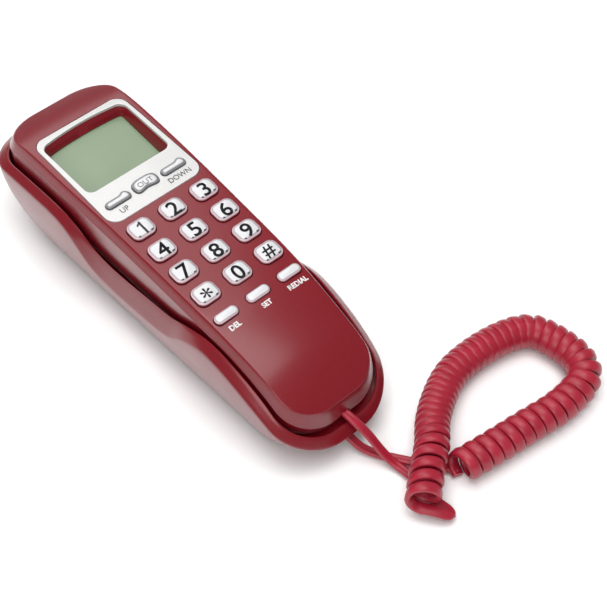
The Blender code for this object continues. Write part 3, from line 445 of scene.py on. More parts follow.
def piece(name, mesh, finish, body, slot, replaces=(), in_handset=False):
    """Show a mesh as a piece that rides on a body. Handset pieces are made in its tilted frame."""
    if in_handset:
        mesh.transform(TO_WORLD)
    mesh.materials.clear()
    mesh.materials.append(finish)
    made = bpy.data.objects.new(name, mesh)
    bpy.context.scene.collection.objects.link(made)
    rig.ride(made, body)
    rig.slot(made, slot)
    if replaces:
        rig.replaces(made, *replaces)
    return made


def cut_mesh(mesh, cutters):
    """Take each cutter mesh out of a mesh, with exact booleans."""
    target = bpy.data.objects.new("cut_target", mesh)
    bpy.context.scene.collection.objects.link(target)
    tools = []
    for cutter in cutters:
        tool = bpy.data.objects.new("cutter", cutter)
        bpy.context.scene.collection.objects.link(tool)
        tools.append(tool)
        step = target.modifiers.new("cut", "BOOLEAN")
        step.operation = "DIFFERENCE"
        step.object = tool
        step.solver = "EXACT"
    graph = bpy.context.evaluated_depsgraph_get()
    made = bpy.data.meshes.new_from_object(target.evaluated_get(graph))
    for unwanted in [target, *tools]:
        bpy.data.objects.remove(unwanted, do_unlink=True)
    for polygon in made.polygons:
        polygon.use_smooth = True
    made.set_sharp_from_angle(angle=math.radians(SHARP_ANGLE))
    return made


# ------------------------------------------------------------------ materials
def new_material(name, colour, roughness, metallic=0.0, coat=0.0, coat_roughness=0.05):
    made = bpy.data.materials.new(name)
    made.use_nodes = True
    shader = made.node_tree.nodes["Principled BSDF"]
    shader.inputs["Base Color"].default_value = (*colour, 1.0)
    shader.inputs["Roughness"].default_value = roughness
    shader.inputs["Metallic"].default_value = metallic
    shader.inputs["Coat Weight"].default_value = coat
    shader.inputs["Coat Roughness"].default_value = coat_roughness
    return made, made.node_tree, shader


def add_noise(tree, scale, detail=3.0):
    place = tree.nodes.new("ShaderNodeTexCoord")
    noise = tree.nodes.new("ShaderNodeTexNoise")
    noise.inputs["Scale"].default_value = scale
    noise.inputs["Detail"].default_value = detail
    tree.links.new(place.outputs["Object"], noise.inputs["Vector"])
    return noise


def add_ramp(tree, source, stops):
    ramp = tree.nodes.new("ShaderNodeValToRGB")
    elements = ramp.color_ramp.elements
    while len(elements) < len(stops):
        elements.new(0.5)
    for element, (position, colour) in zip(elements, stops):
        element.position = position
        element.color = (*colour, 1.0)
    tree.links.new(source, ramp.inputs["Fac"])
    return ramp


def add_bump(tree, shader, source, strength, distance):
    bump = tree.nodes.new("ShaderNodeBump")
    bump.inputs["Strength"].default_value = strength
    bump.inputs["Distance"].default_value = distance
    tree.links.new(source, bump.inputs["Height"])
    tree.links.new(bump.outputs["Normal"], shader.inputs["Normal"])


def shell_material():
    """Crimson ABS: fine pearl flakes in the colour, under a clear gloss."""
    made, tree, shader = new_material("crimson_shell", (0.16, 0.003, 0.007), 0.34, 0.0, 0.9, 0.20)
    shader.inputs["Specular IOR Level"].default_value = 0.25
    flakes = add_noise(tree, 2600.0, 2.0)
    colour = add_ramp(tree, flakes.outputs["Fac"],
                      ((0.30, (0.160, 0.0020, 0.0070)), (0.62, (0.195, 0.0030, 0.0098)),
                       (0.80, (0.25, 0.011, 0.021))))
    tree.links.new(colour.outputs["Color"], shader.inputs["Base Color"])
    wear = add_noise(tree, 70.0, 4.0)
    rough = tree.nodes.new("ShaderNodeMapRange")
    rough.inputs["To Min"].default_value = 0.28
    rough.inputs["To Max"].default_value = 0.40
    tree.links.new(wear.outputs["Fac"], rough.inputs["Value"])
    tree.links.new(rough.outputs["Result"], shader.inputs["Roughness"])
    ripple = add_noise(tree, 45.0, 2.0)
    add_bump(tree, shader, ripple.outputs["Fac"], 0.05, 0.0003)
    return made


def cord_material():
    """Satin crimson PVC with a faint extruded grain."""
    made, tree, shader = new_material("crimson_cord", (0.34, 0.010, 0.028), 0.40, 0.0, 0.25, 0.30)
    tint = add_noise(tree, 160.0, 3.0)
    colour = add_ramp(tree, tint.outputs["Fac"],
                      ((0.30, (0.30, 0.008, 0.024)), (0.70, (0.37, 0.013, 0.034))))
    tree.links.new(colour.outputs["Color"], shader.inputs["Base Color"])
    grain = add_noise(tree, 1500.0, 2.0)
    add_bump(tree, shader, grain.outputs["Fac"], 0.12, 0.0001)
    return made


def plain_material(name, colour, roughness, metallic=0.0, grain=1200.0, coat=0.0, even=0.88):
    """Moulded plastic, rubber or metal: slight colour variation and a fine surface grain."""
    made, tree, shader = new_material(name, colour, roughness, metallic, coat)
    speckle = add_noise(tree, grain, 3.0)
    darker = tuple(even * channel for channel in colour)
    lighter = tuple(min(1.0, (2 - even) * channel) for channel in colour)
    ramp = add_ramp(tree, speckle.outputs["Fac"], ((0.30, darker), (0.70, lighter)))
    tree.links.new(ramp.outputs["Color"], shader.inputs["Base Color"])
    add_bump(tree, shader, speckle.outputs["Fac"], 0.08, 0.0001)
    return made


def key_material(name, stops):
    """The look of a clear cap over white, on an opaque mesh: its colour follows an attribute
    that runs from 0 at the middle of the top to 1 at the foot. Past the grey-white top, its stops
    are painted light: a painted highlight round the rim and painted shade down the sides.
    """
    made, tree, shader = new_material(name, stops[0][1], 0.16, 0.0, 0.8, 0.05)
    place = tree.nodes.new("ShaderNodeAttribute")
    place.attribute_name = "depth"
    ramp = add_ramp(tree, place.outputs["Fac"], stops)
    tree.links.new(ramp.outputs["Color"], shader.inputs["Base Color"])
    haze = add_noise(tree, 500.0, 2.0)
    add_bump(tree, shader, haze.outputs["Fac"], 0.05, 0.0001)
    return made


def lcd_material():
    made, tree, shader = new_material("lcd_green", (0.30, 0.40, 0.27), 0.30, 0.0, 0.5, 0.10)
    cloud = add_noise(tree, 60.0, 2.0)
    ramp = add_ramp(tree, cloud.outputs["Fac"],
                    ((0.30, (0.182, 0.252, 0.155)), (0.70, (0.200, 0.270, 0.168))))
    tree.links.new(ramp.outputs["Color"], shader.inputs["Base Color"])
    grid = add_noise(tree, 3000.0, 1.0)
    add_bump(tree, shader, grid.outputs["Fac"], 0.04, 0.0001)
    return made


SHELL = shell_material()
CORD = cord_material()
# The digit keys' colour by depth: a grey-white top with a thin dark grey line, then a painted pinkish highlight round
# the rim that stands in for the red cover seen through the clear cap, then painted shade darkening the sides to a dark
# red foot.
KEY = key_material("clear_key", (
    (0.0, (0.62, 0.62, 0.63)), (0.15, (0.56, 0.55, 0.57)), (0.30, (0.22, 0.17, 0.19)),
    (0.40, (0.46, 0.35, 0.38)), (0.52, (0.70, 0.56, 0.59)), (0.66, (0.52, 0.30, 0.33)),
    (0.80, (0.30, 0.08, 0.10)), (1.0, (0.10, 0.01, 0.015))))
LCD = lcd_material()
SILVER = plain_material("silver_plate", (0.64, 0.635, 0.625), 0.40, 0.0, 2600.0, 0.3, 0.96)
# The fascia keys' colour by depth: a bright top, then painted dark shade in rings round the rim and down the sides to
# a near-black foot.
FASCIA_KEY = key_material("smoked_clear_key", (
    (0.0, (0.64, 0.64, 0.64)), (0.14, (0.38, 0.38, 0.39)), (0.28, (0.08, 0.08, 0.09)),
    (0.42, (0.24, 0.24, 0.25)), (0.55, (0.07, 0.07, 0.08)), (1.0, (0.03, 0.03, 0.03))))
INK = plain_material("dark_ink", (0.025, 0.025, 0.030), 0.45)
GREY_INK = plain_material("grey_ink", (0.12, 0.12, 0.13), 0.5)
WHITE_INK = plain_material("white_ink", (0.82, 0.80, 0.80), 0.5)
CAD_FINISHES = {
    "rubber": plain_material("dark_rubber", (0.03, 0.03, 0.03), 0.75, 0.0, 700.0),
    "board": plain_material("circuit_board", (0.03, 0.16, 0.07), 0.4, 0.0, 500.0, 0.4),
    "steel": plain_material("bright_steel", (0.55, 0.55, 0.56), 0.28, 1.0, 900.0),
    "black": plain_material("black_plastic", (0.018, 0.018, 0.019), 0.42, 0.0, 900.0),
    "white": plain_material("white_plastic", (0.75, 0.75, 0.74), 0.4, 0.0, 900.0),
    "clear": plain_material("clear_plug", (0.62, 0.64, 0.65), 0.12, 0.0, 900.0, 1.0),
    "shell": SHELL,
    "lcd": LCD,
}


# ------------------------------------------------------------------ the cord
def smooth_route(route, spacing):
    """Evenly spaced points on the smooth curve through a route's points."""
    points = [Vector(point) for point in route]
    fine = []
    for i in range(len(points) - 1):
        before = points[max(i - 1, 0)]
        after = points[min(i + 2, len(points) - 1)]
        start, end = points[i], points[i + 1]
        for step in range(20):
            t = step / 20
            fine.append(0.5 * (2 * start + (end - before) * t
                               + (2 * before - 5 * start + 4 * end - after) * t**2
                               + (3 * start - before - 3 * end + after) * t**3))
    fine.append(points[-1])
    lengths = [0.0]
    for a, b in zip(fine, fine[1:]):
        lengths.append(lengths[-1] + (b - a).length)
    count = max(2, round(lengths[-1] / spacing))
    even, place = [], 0
    for i in range(count + 1):
        target = lengths[-1] * i / count
        while place < len(fine) - 2 and lengths[place + 1] < target:
            place += 1
        span = lengths[place + 1] - lengths[place]
        even.append(fine[place].lerp(fine[place + 1], (target - lengths[place]) / span))
    return even


def route_length(points):
    return sum((b - a).length for a, b in zip(points, points[1:]))


def sweep(name, points, wides, width=CORD_WIDTH, thickness=CORD_THICKNESS, sides=14, groove=0.0):
    """Flat-oval cord along points, wide along wides, with a groove down each face if wanted."""
    edge_power, face_power = 0.72, 0.80
    groove_half = 0.13 * width
    bm = bmesh.new()
    rings = []
    for i, point in enumerate(points):
        ahead = points[min(i + 1, len(points) - 1)] - points[max(i - 1, 0)]
        ahead.normalize()
        wide = (wides[i] - ahead * wides[i].dot(ahead)).normalized()
        thin = ahead.cross(wide)
        ring = []
        for k in range(sides):
            turn = 2 * math.pi * k / sides
            across, through = math.cos(turn), math.sin(turn)
            across = math.copysign(abs(across) ** edge_power, across) * width / 2
            through = math.copysign(abs(through) ** face_power, through) * thickness / 2
            through *= 1 - groove * math.exp(-((across / groove_half) ** 2))
            ring.append(bm.verts.new(point + wide * across + thin * through))
        rings.append(ring)
    for lower, upper in zip(rings, rings[1:]):
        for k in range(sides):
            bm.faces.new((lower[k], lower[(k + 1) % sides], upper[(k + 1) % sides], upper[k]))
    bm.faces.new(rings[0])
    bm.faces.new(rings[-1])
    return finish_mesh(bm, name, 50)


def coil_points():
    """Points of the bight and of the left-handed helix, with the wide axis at each."""
    axis = smooth_route(COIL_ROUTE, AXIS_SPACING)
    radius = COIL_RADIUS - CORD_THICKNESS / 2 - CORD_WIDTH / 2 * math.sin(STRAND_LEAN)
    reach = 4
    first, last = COIL_TURNS[0][1], COIL_TURNS[-1][1]
    steps = int((last - first) * TURN_STEPS)
    inverse = [(turn, place) for place, turn in COIL_TURNS]
    points, wides = [], []
    for i in range(steps + 1):
        turn = first + (last - first) * i / steps
        place = smooth(inverse, turn) / COIL_TURNS[-1][0]
        spot = place * (len(axis) - 1)
        low = min(int(spot), len(axis) - 2)
        centre = axis[low].lerp(axis[low + 1], spot - low)
        ahead = (axis[min(low + reach, len(axis) - 1)] - axis[max(low - reach, 0)]).normalized()
        side = ahead.cross(Vector((0, 0, 1))).normalized()
        up = side.cross(ahead)
        angle = -2 * math.pi * turn
        outward = side * math.cos(angle) + up * math.sin(angle)
        points.append(centre + outward * radius)
        wides.append(ahead * math.cos(STRAND_LEAN) - outward * math.sin(STRAND_LEAN))
    bight = smooth_route([*BIGHT_ROUTE, points[0]], BIGHT_SPACING)[:-1]
    return bight + points, flat_wides(bight) + wides


def flat_wides(points):
    """Wide axis of a ribbon that lies flat, at each point along it."""
    wides = []
    for i in range(len(points)):
        ahead = points[min(i + 1, len(points) - 1)] - points[max(i - 1, 0)]
        wides.append(ahead.normalized().cross(Vector((0, 0, 1))))
    return wides


def ribbon(name, points):
    return sweep(name, points, flat_wides(points), RIBBON_WIDTH, RIBBON_THICKNESS,
                 RIBBON_SIDES, RIBBON_GROOVE)


def make_cords():
    tail = smooth_route(HANDSET_TAIL_ROUTE, TAIL_SPACING)
    mesh = ribbon("handset_cord", tail)
    mesh.materials.append(CORD)
    first = bpy.data.objects.new("handset_cord", mesh)
    bpy.context.scene.collection.objects.link(first)
    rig.slot(first, "crimson_cord")
    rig.replaces(first, "handset_tail")
    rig.blend(first, "handset", "base", start=tail[2], end=tail[-8])
    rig.cord(first, exit=tail[0], length=route_length(tail), diameter=RIBBON_WIDTH, far_end="object",
            stiffness="medium", lay="loose", path=tail, with_pieces=[frame["nodes"]["handset_plug"]])

    tail = smooth_route(BASE_TAIL_ROUTE, TAIL_SPACING)
    mesh = ribbon("base_cord", tail)
    second = piece("base_cord", mesh, CORD, "base", "crimson_cord", ["base_tail"])
    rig.cord(second, exit=tail[0], length=route_length(tail), diameter=RIBBON_WIDTH, far_end="object",
            stiffness="medium", lay="loose", path=tail, with_pieces=[frame["nodes"]["base_plug"]])

    coil, wides = coil_points()
    mesh = sweep("coiled_cord", coil, wides)
    third = piece("coiled_cord", mesh, CORD, "base", "crimson_cord", ["curly_cord_coil"])
    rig.cord(third, exit=coil[0], length=route_length(coil), diameter=CORD_WIDTH, far_end="object",
            stiffness="medium", lay="coiled", path=coil)


make_cords()


# ------------------------------------------------------------------ handset shells
def handset_outline(outset):
    return outline(lambda y: smooth(FACE_HALF_WIDTH, y) + outset,
                   HANDSET_FRONT - outset, HANDSET_BACK + outset,
                   tuple(radius + outset for radius in HANDSET_CORNER_FRONT),
                   tuple(radius + outset for radius in HANDSET_CORNER_BACK))


def surface(x, y):
    """Height of the gently crowned face, in the handset's frame."""
    across = min(1.0, abs(x) / smooth(FACE_HALF_WIDTH, y))
    return face_height(y) + smooth(CROWN, y) * (1 - across**2)


def on_surface(points, lift=0.0):
    return [(x, y, surface(x, y) + lift) for x, y in points]


def shrunk(points, fraction):
    """Outline pulled in towards the face's long middle line."""
    end_pull = 0.022
    middle = (HANDSET_FRONT + HANDSET_BACK) / 2
    half = (HANDSET_BACK - HANDSET_FRONT) / 2
    along = (half - (1 - fraction) * end_pull) / half
    return [(x * fraction, middle + (y - middle) * along) for x, y in points]


def prism_into(bm, points, low, high):
    loft_into(bm, [at_height(points, low), at_height(points, high)])


def box_mesh(name, low, high):
    bm = bmesh.new()
    bmesh.ops.create_cube(bm, size=1.0)
    size = Vector(high) - Vector(low)
    bmesh.ops.scale(bm, vec=size, verts=bm.verts)
    bmesh.ops.translate(bm, vec=(Vector(high) + Vector(low)) / 2, verts=bm.verts)
    mesh = bpy.data.meshes.new(name)
    bm.to_mesh(mesh)
    bm.free()
    return mesh


def fascia_outline(grow):
    """Plan of the display's plate: its far edge is gently arched."""
    front, back = FASCIA_CORNERS[0] + grow, FASCIA_CORNERS[1] + grow
    points = outline(lambda y: smooth(FASCIA_HALF_WIDTH, y) + grow, FASCIA_FRONT - grow,
                     FASCIA_BACK + grow, (front, front), (back, back), 24, 10)
    return [arched(x, y, FASCIA_BACK, FASCIA_ARCH) for x, y in points]


def arched(x, y, back, rise):
    """Move a plan point near a far edge outwards, most at the middle."""
    weight = min(1.0, max(0.0, (y - (back - ARCH_LENGTH)) / ARCH_LENGTH))
    return x, y + rise * weight * weight * (1 - (x / FASCIA_HALF_WIDTH[0][1]) ** 2)


def densely(points, counts):
    """Split some edges of a closed outline: counts maps an edge's place to its number of parts."""
    dense = []
    for i, (a, b) in enumerate(zip(points, points[1:] + points[:1])):
        steps = counts.get(i, 1)
        dense += [(a[0] + (b[0] - a[0]) * k / steps, a[1] + (b[1] - a[1]) * k / steps)
                  for k in range(steps)]
    return dense


def window_outline(narrower=0.0):
    size = (2 * (WINDOW_HALF - narrower), WINDOW_BACK - WINDOW_FRONT - 2 * narrower)
    middle = (WINDOW_FRONT + WINDOW_BACK) / 2
    corner, steps = max(LEAST_CORNER, WINDOW_CORNER - narrower), 8
    base = rounded_rectangle(size, corner, steps, (0.0, middle))
    straight = range(steps, len(base), steps + 1)
    points = densely(base, dict(zip(straight, (20, 14, 20, 14))))
    return [arched(x, y, WINDOW_BACK, WINDOW_ARCH) for x, y in points]


def face_keys():
    """Name, centre, size and corner radius of each key."""
    names = ("1", "2", "3", "4", "5", "6", "7", "8", "9", "star", "0", "hash")
    for i, name in enumerate(names):
        centre = (KEY_PITCH_X * (i % 3 - 1), -KEY_PITCH_Y * (i // 3))
        yield "key_" + name, centre, KEY_SIZE, KEY_CORNER
    for i, name in enumerate(("delete", "set", "redial")):
        yield "key_" + name, (KEY_PITCH_X * (i - 1), OBLONG_ROW_Y), OBLONG_SIZE, OBLONG_CORNER


def cut_fascia_holes(bm):
    for centre, size in FASCIA_HOLES:
        prism_into(bm, rounded_rectangle(size, FASCIA_HOLE_CORNER, 6, centre), CUT_LOW, CUT_HIGH)


def make_front_cover():
    edge = handset_outline(0.0)
    fractions = (0.05, 0.2, 0.4, 0.6, 0.75, 0.87, 0.94)
    loops = [on_surface(shrunk(edge, fraction)) for fraction in fractions]
    rounding = ((-0.0007, 0.0), (-0.0004, -0.00006), (-0.00015, -0.00022), (0.0, -0.0005))
    for outset, drop in rounding:
        loops.append(on_surface(handset_outline(outset), drop))
    bevel = ((0.30, 0.00055), (0.60, 0.00105), (0.86, 0.00155), (0.93, 0.00172), (0.98, 0.00178),
             (1.0, 0.00165), (1.015, 0.00140))
    for fraction, outset in bevel:
        loops.append([(x, y, face_height(y) - smooth(BEVEL_DROP, y) * fraction)
                      for x, y in handset_outline(outset)])
    loops.append(at_height(handset_outline(BEVEL_OUT - WALL), part_height))
    loops.append(at_height(handset_outline(-WALL), lambda y: face_height(y) - WALL))
    mesh = loft("front_cover", loops, "mirrored")

    holes = bmesh.new()
    for _, centre, size, radius in face_keys():
        opening = (size[0] + 2 * GAP, size[1] + 2 * GAP)
        prism_into(holes, rounded_rectangle(opening, radius + GAP, 8, centre), CUT_LOW, CUT_HIGH)
    well = bmesh.new()
    prism_into(well, window_outline(-WELL_WALL), CUT_LOW, CUT_HIGH)
    cut_fascia_holes(well)
    points = fascia_outline(GAP)
    recess = bmesh.new()
    loft_into(recess, [on_surface(points, CUT_HIGH), on_surface(points, -FASCIA_RECESS)],
              "mirrored")
    notch = box_mesh("notch", (-FRONT_NOTCH_HALF, NOTCH_FRONT, FRONT_NOTCH_LOW),
                     (FRONT_NOTCH_HALF, NOTCH_BACK, FRONT_NOTCH_HIGH))
    cutters = [finish_mesh(bm, "cutter") for bm in (holes, well, recess)] + [notch]
    piece("front_cover", cut_mesh(mesh, cutters), SHELL, "handset", "crimson_plastic",
          ["handset_front_cover"], True)


def make_well():
    """The display's red, tapered surround: its upper rings follow the face, its lower are flat."""
    lowest_curved = -0.0080
    levels = ((0.0, -0.0013), (0.0004, -0.0020), (0.0021, -0.0090), (0.0021, -0.0093),
              (-0.0009, -0.0093), (-0.0009, -0.0013))
    loops = []
    for narrower, height in levels:
        if height > lowest_curved:
            loops.append(on_surface(window_outline(narrower), height))
        else:
            loops.append(at_height(window_outline(narrower), height))
    bm = bmesh.new()
    loft_into(bm, loops + loops[:1], "joined")
    bmesh.ops.remove_doubles(bm, verts=bm.verts, dist=1e-7)
    piece("display_surround", finish_mesh(bm, "display_surround", 40), SHELL, "handset",
          "crimson_plastic", (), True)


def make_fascia():
    rings = ((0.0, -0.0011), (0.0, 0.0), (-0.00008, 0.00015), (-0.00025, FASCIA_TOP))
    loops = [on_surface(fascia_outline(grow), height) for grow, height in rings]
    mesh = loft("fascia", loops, "mirrored")
    window = bmesh.new()
    prism_into(window, window_outline(), CUT_LOW, CUT_HIGH)
    cut_fascia_holes(window)
    piece("fascia", cut_mesh(mesh, [finish_mesh(window, "cutter")]), SILVER, "handset",
          "silver_plate", ["fascia_plate"], True)


def make_rear_cover():
    lip = 0.0003
    levels = ((0.0, lip), (0.02, lip), (0.25, 0.00025), (0.45, 0.0), (0.62, -0.0002),
              (0.80, -0.0006), (0.89, -0.0014), (0.94, -0.0024), (0.975, -0.0037),
              (0.992, -0.0049), (1.0, -0.0062))

    def ring(fraction, outset, thickness):
        def height(y):
            start, end = part_height(y) - GAP, rear_height(y) + thickness
            return start + (end - start) * fraction
        return at_height(handset_outline(BEVEL_OUT - 2 * lip + outset - thickness), height)

    outer = [ring(fraction, outset, 0.0) for fraction, outset in levels]
    inner = [ring(fraction, outset, WALL) for fraction, outset in levels]
    mesh = loft("rear_cover", list(reversed(outer)) + inner, "mirrored")
    holes = bmesh.new()
    for i in range(-2, 3):
        size = (EAR_SLOT[0], EAR_SLOT[1] - EAR_SHORTER * abs(i))
        slot = rounded_rectangle(size, EAR_CORNER, 4, (EAR_PITCH * i, EAR_Y))
        prism_into(holes, slot, *EAR_CUT)
    for i in range(-1, 2):
        slot = rounded_rectangle(MOUTH_SLOT, MOUTH_CORNER, 4, (MOUTH_PITCH * i, MOUTH_Y))
        prism_into(holes, slot, *MOUTH_CUT)
    for y in SCREW_PLACES:
        floor = rear_height(y)
        hole = rounded_rectangle(SCREW_HOLE, SCREW_HOLE_CORNER, 6, (0.0, y))
        prism_into(holes, hole, floor - SCREW_CUT_BELOW, floor + SCREW_CUT_ABOVE)
    notch = box_mesh("notch", (-REAR_NOTCH_HALF, NOTCH_FRONT, REAR_NOTCH_LOW),
                     (REAR_NOTCH_HALF, NOTCH_BACK, REAR_NOTCH_HIGH))
    piece("rear_cover", cut_mesh(mesh, [finish_mesh(holes, "cutter"), notch]), SHELL, "handset",
          "crimson_plastic", ["handset_rear_cover"], True)


# ------------------------------------------------------------------ keys and their lettering
def cap_mesh(name, shape, top, rim=1.0):
    """A cap with rounded top edges. shape(outset) gives its outline; each ring stores its depth, which sets its
    colour, painted highlight and shade included.
    """
    levels = ((0.0, -CAP_FOOT, 1.0), (0.0, -0.0016, 1.0), (0.0, -0.0010, 0.80),
              (-0.00010, -0.00060, 0.62), (-0.00030, -0.00030, 0.50), (-0.00055, -0.00013, 0.42),
              (-0.00085, -0.00016, 0.30), (-0.00120, -0.00008, 0.15), (-0.00170, 0.0, 0.0))
    bm = bmesh.new()
    loops = [at_height(shape(outset * rim), top + height) for outset, height, _ in levels]
    loft_into(bm, loops, "flat")
    count = len(loops[0])
    mesh = finish_mesh(bm, name, 60)
    depth = mesh.attributes.new("depth", "FLOAT", "POINT")
    for i, value in enumerate(depth.data):
        value.value = levels[i // count][2]
    return mesh


def letters(text, height, centre, bold, squeeze=1.0):
    """Flat lettering of a given height, centred on a plan point. Shifted copies make it bold."""
    curve = bpy.data.curves.new("lettering", "FONT")
    curve.body = text
    curve.size = 1.0
    curve.extrude = 0.001  # only gives it two sides, which are put at the ink's thickness below
    curve.align_x, curve.align_y = "CENTER", "CENTER"
    curve.resolution_u = 6
    made = bpy.data.objects.new("lettering", curve)
    bpy.context.scene.collection.objects.link(made)
    graph = bpy.context.evaluated_depsgraph_get()
    mesh = bpy.data.meshes.new_from_object(made.evaluated_get(graph))
    bpy.data.objects.remove(made, do_unlink=True)
    xs = [v.co.x for v in mesh.vertices]
    ys = [v.co.y for v in mesh.vertices]
    scale = height / (max(ys) - min(ys))
    middle = ((max(xs) + min(xs)) / 2, (max(ys) + min(ys)) / 2)
    for vertex in mesh.vertices:
        x, y, z = vertex.co
        vertex.co = (centre[0] + (x - middle[0]) * scale * squeeze,
                     centre[1] + (y - middle[1]) * scale,
                     INK_THICKNESS if z > 0 else -INK_THICKNESS)
    bm = bmesh.new()
    for i in range(BOLD_COPIES if bold else 1):
        turn = 2 * math.pi / BOLD_COPIES * i
        first = len(bm.verts)
        bm.from_mesh(mesh)
        bm.verts.ensure_lookup_table()
        shift = (bold * math.cos(turn), bold * math.sin(turn), 0.0)
        bmesh.ops.translate(bm, vec=shift, verts=bm.verts[first:])
    bm.to_mesh(mesh)
    bm.free()
    return mesh


def figure_one(height, centre):
    """The figure 1, with its flag: a stem and a slanted stroke."""
    corners = ((0.02, -0.5), (0.17, -0.5), (0.17, 0.5), (0.06, 0.5), (-0.01, 0.40), (-0.16, 0.31),
               (-0.16, 0.17), (0.02, 0.27))
    plan = [(centre[0] + x * height, centre[1] + y * height) for x, y in corners]
    bm = bmesh.new()
    prism_into(bm, plan, -INK_THICKNESS, INK_THICKNESS)
    return finish_mesh(bm, "figure_one")


def add_dark_specks(mesh, centre):
    """Two small dark specks near the lower edge of a clear cap. What they are is not known."""
    bm = bmesh.new()
    bm.from_mesh(mesh)
    for x, width in DARK_SPECKS:
        middle = (centre[0] + x, centre[1] - KEY_SIZE[1] / 2 + DARK_SPECK_UP)
        clip = rounded_rectangle((width, DARK_SPECK_DEPTH), DARK_SPECK_CORNER, 3, middle)
        prism_into(bm, clip, -INK_THICKNESS, INK_THICKNESS)
    bm.to_mesh(mesh)
    bm.free()


def lay_on(mesh, height_at):
    for vertex in mesh.vertices:
        vertex.co.z += height_at(vertex.co.x, vertex.co.y)
    return mesh


def make_keys():
    for name, centre, size, radius in face_keys():
        top = face_height(centre[1]) + KEY_PROUD

        def shape(outset, size=size, radius=radius, centre=centre):
            grown = (size[0] + 2 * outset, size[1] + 2 * outset)
            corner = max(LEAST_KEY_CORNER, min(radius + outset, 0.49 * min(grown)))
            return rounded_rectangle(grown, corner, 8, centre)

        mesh = cap_mesh(name, shape, top, 1.0 if size == KEY_SIZE else OBLONG_RIM)
        piece(name + "_cap", mesh, KEY, name, "clear_key", [name], True)
        if size != KEY_SIZE:
            continue
        mark = name.removeprefix("key_")
        place = (centre[0], centre[1] - FIGURE_DOWN)
        if mark == "1":
            text = figure_one(FIGURE_HEIGHT, place)
        elif mark in SYMBOLS:
            symbol, height = SYMBOLS[mark]
            text = letters(symbol, height, place, SYMBOL_BOLD)
        else:
            text = letters(mark, FIGURE_HEIGHT, place, FIGURE_BOLD)
        add_dark_specks(text, centre)
        lay_on(text, lambda x, y, top=top: top + FIGURE_LIFT)
        piece(name + "_figure", text, INK, name, "clear_key", (), True)
    for label, i in (("DEL", -1), ("SET", 0), ("REDIAL", 1)):
        place = (KEY_PITCH_X * i, OBLONG_ROW_Y - OBLONG_LABEL_DOWN)
        text = letters(label, OBLONG_LABEL_HEIGHT, place, OBLONG_LABEL_BOLD,
                       OBLONG_LABEL_SQUEEZE)
        lay_on(text, lambda x, y: surface(x, y) + OBLONG_LABEL_LIFT)
        piece("label_" + label.lower(), text, WHITE_INK, "handset", "crimson_plastic", (), True)


def humped(size, outset, centre):
    """A stadium with a small hump on its far side, right of the middle."""
    half_x, half_y = size[0] / 2 + outset, size[1] / 2 + outset
    hump_x, hump_rise, hump_half = 0.0036, 0.0009, 0.0013
    steps = 10
    points = rounded_rectangle((2 * half_x, 2 * half_y), 0.96 * half_y, steps)
    far_edge, near_edge = steps, 3 * steps + 2
    dense = densely(points, {far_edge: 16, near_edge: 16})
    shaped = []
    for x, y in dense:
        lift = hump_rise * math.exp(-(((x - hump_x) / hump_half) ** 2)) if y > 0 else 0.0
        shaped.append((centre[0] + x, centre[1] + y + lift))
    return shaped


def receiver(size, outset, centre):
    """The call key: a handset lying on its side, thick at both ends, its back arched."""
    half_x, half_y = size[0] / 2 + outset, size[1] / 2 + outset
    count, hollow = 64, 0.0013
    points = []
    for i in range(count):
        turn = 2 * math.pi * i / count
        x = math.copysign(abs(math.cos(turn)) ** 0.62, math.cos(turn)) * half_x
        y = math.copysign(abs(math.sin(turn)) ** 0.75, math.sin(turn)) * half_y
        if y < 0:
            y += hollow * math.cos(math.pi * min(1.0, abs(x) / half_x) / 2) ** 2
        points.append((centre[0] + x, centre[1] + y))
    return points


def make_fascia_keys():
    for name, label, side in (("key_up", "UP", -1), ("key_down", "DOWN", 1)):
        centre = (side * FASCIA_KEY_X, FASCIA_KEY_Y)
        top = face_height(centre[1]) + FASCIA_KEY_PROUD
        mesh = cap_mesh(name, lambda outset: humped(FASCIA_KEY_SIZE, outset, centre), top)
        piece(name + "_cap", mesh, FASCIA_KEY, name, "clear_key", [name], True)
        place = (centre[0] - FASCIA_LABEL_LEFT, FASCIA_KEY_Y - FASCIA_LABEL_DOWN)
        text = letters(label, FASCIA_LABEL_HEIGHT, place, 0.0, FASCIA_LABEL_SQUEEZE)
        lay_on(text, lambda x, y: surface(x, y) + FASCIA_LABEL_LIFT)
        piece("label_" + label.lower(), text, GREY_INK, "handset", "silver_plate", (), True)
    centre = (0.0, FASCIA_KEY_Y + CALL_KEY_UP)
    top = face_height(centre[1]) + FASCIA_KEY_PROUD
    mesh = cap_mesh("key_call", lambda outset: receiver(CALL_KEY_SIZE, outset, centre), top)
    piece("key_call_cap", mesh, FASCIA_KEY, "key_call", "clear_key", ["key_call"], True)
    text = letters("OUT", CALL_WORD_HEIGHT, (centre[0], centre[1] + CALL_WORD_UP), 0.0)
    lay_on(text, lambda x, y: top + FIGURE_LIFT)
    piece("key_call_word", text, GREY_INK, "key_call", "clear_key", (), True)


# ------------------------------------------------------------------ the base
def in_world(y, z):
    cos, sin = math.cos(HANDSET_TILT), math.sin(HANDSET_TILT)
    return HANDSET_ORIGIN.y + y * cos - z * sin, HANDSET_ORIGIN.z + y * sin + z * cos


def tray_floor(y):
    along = (y - HANDSET_ORIGIN.y) / math.cos(HANDSET_TILT)
    return in_world(along, rear_height(along) - TRAY_GAP)[1]


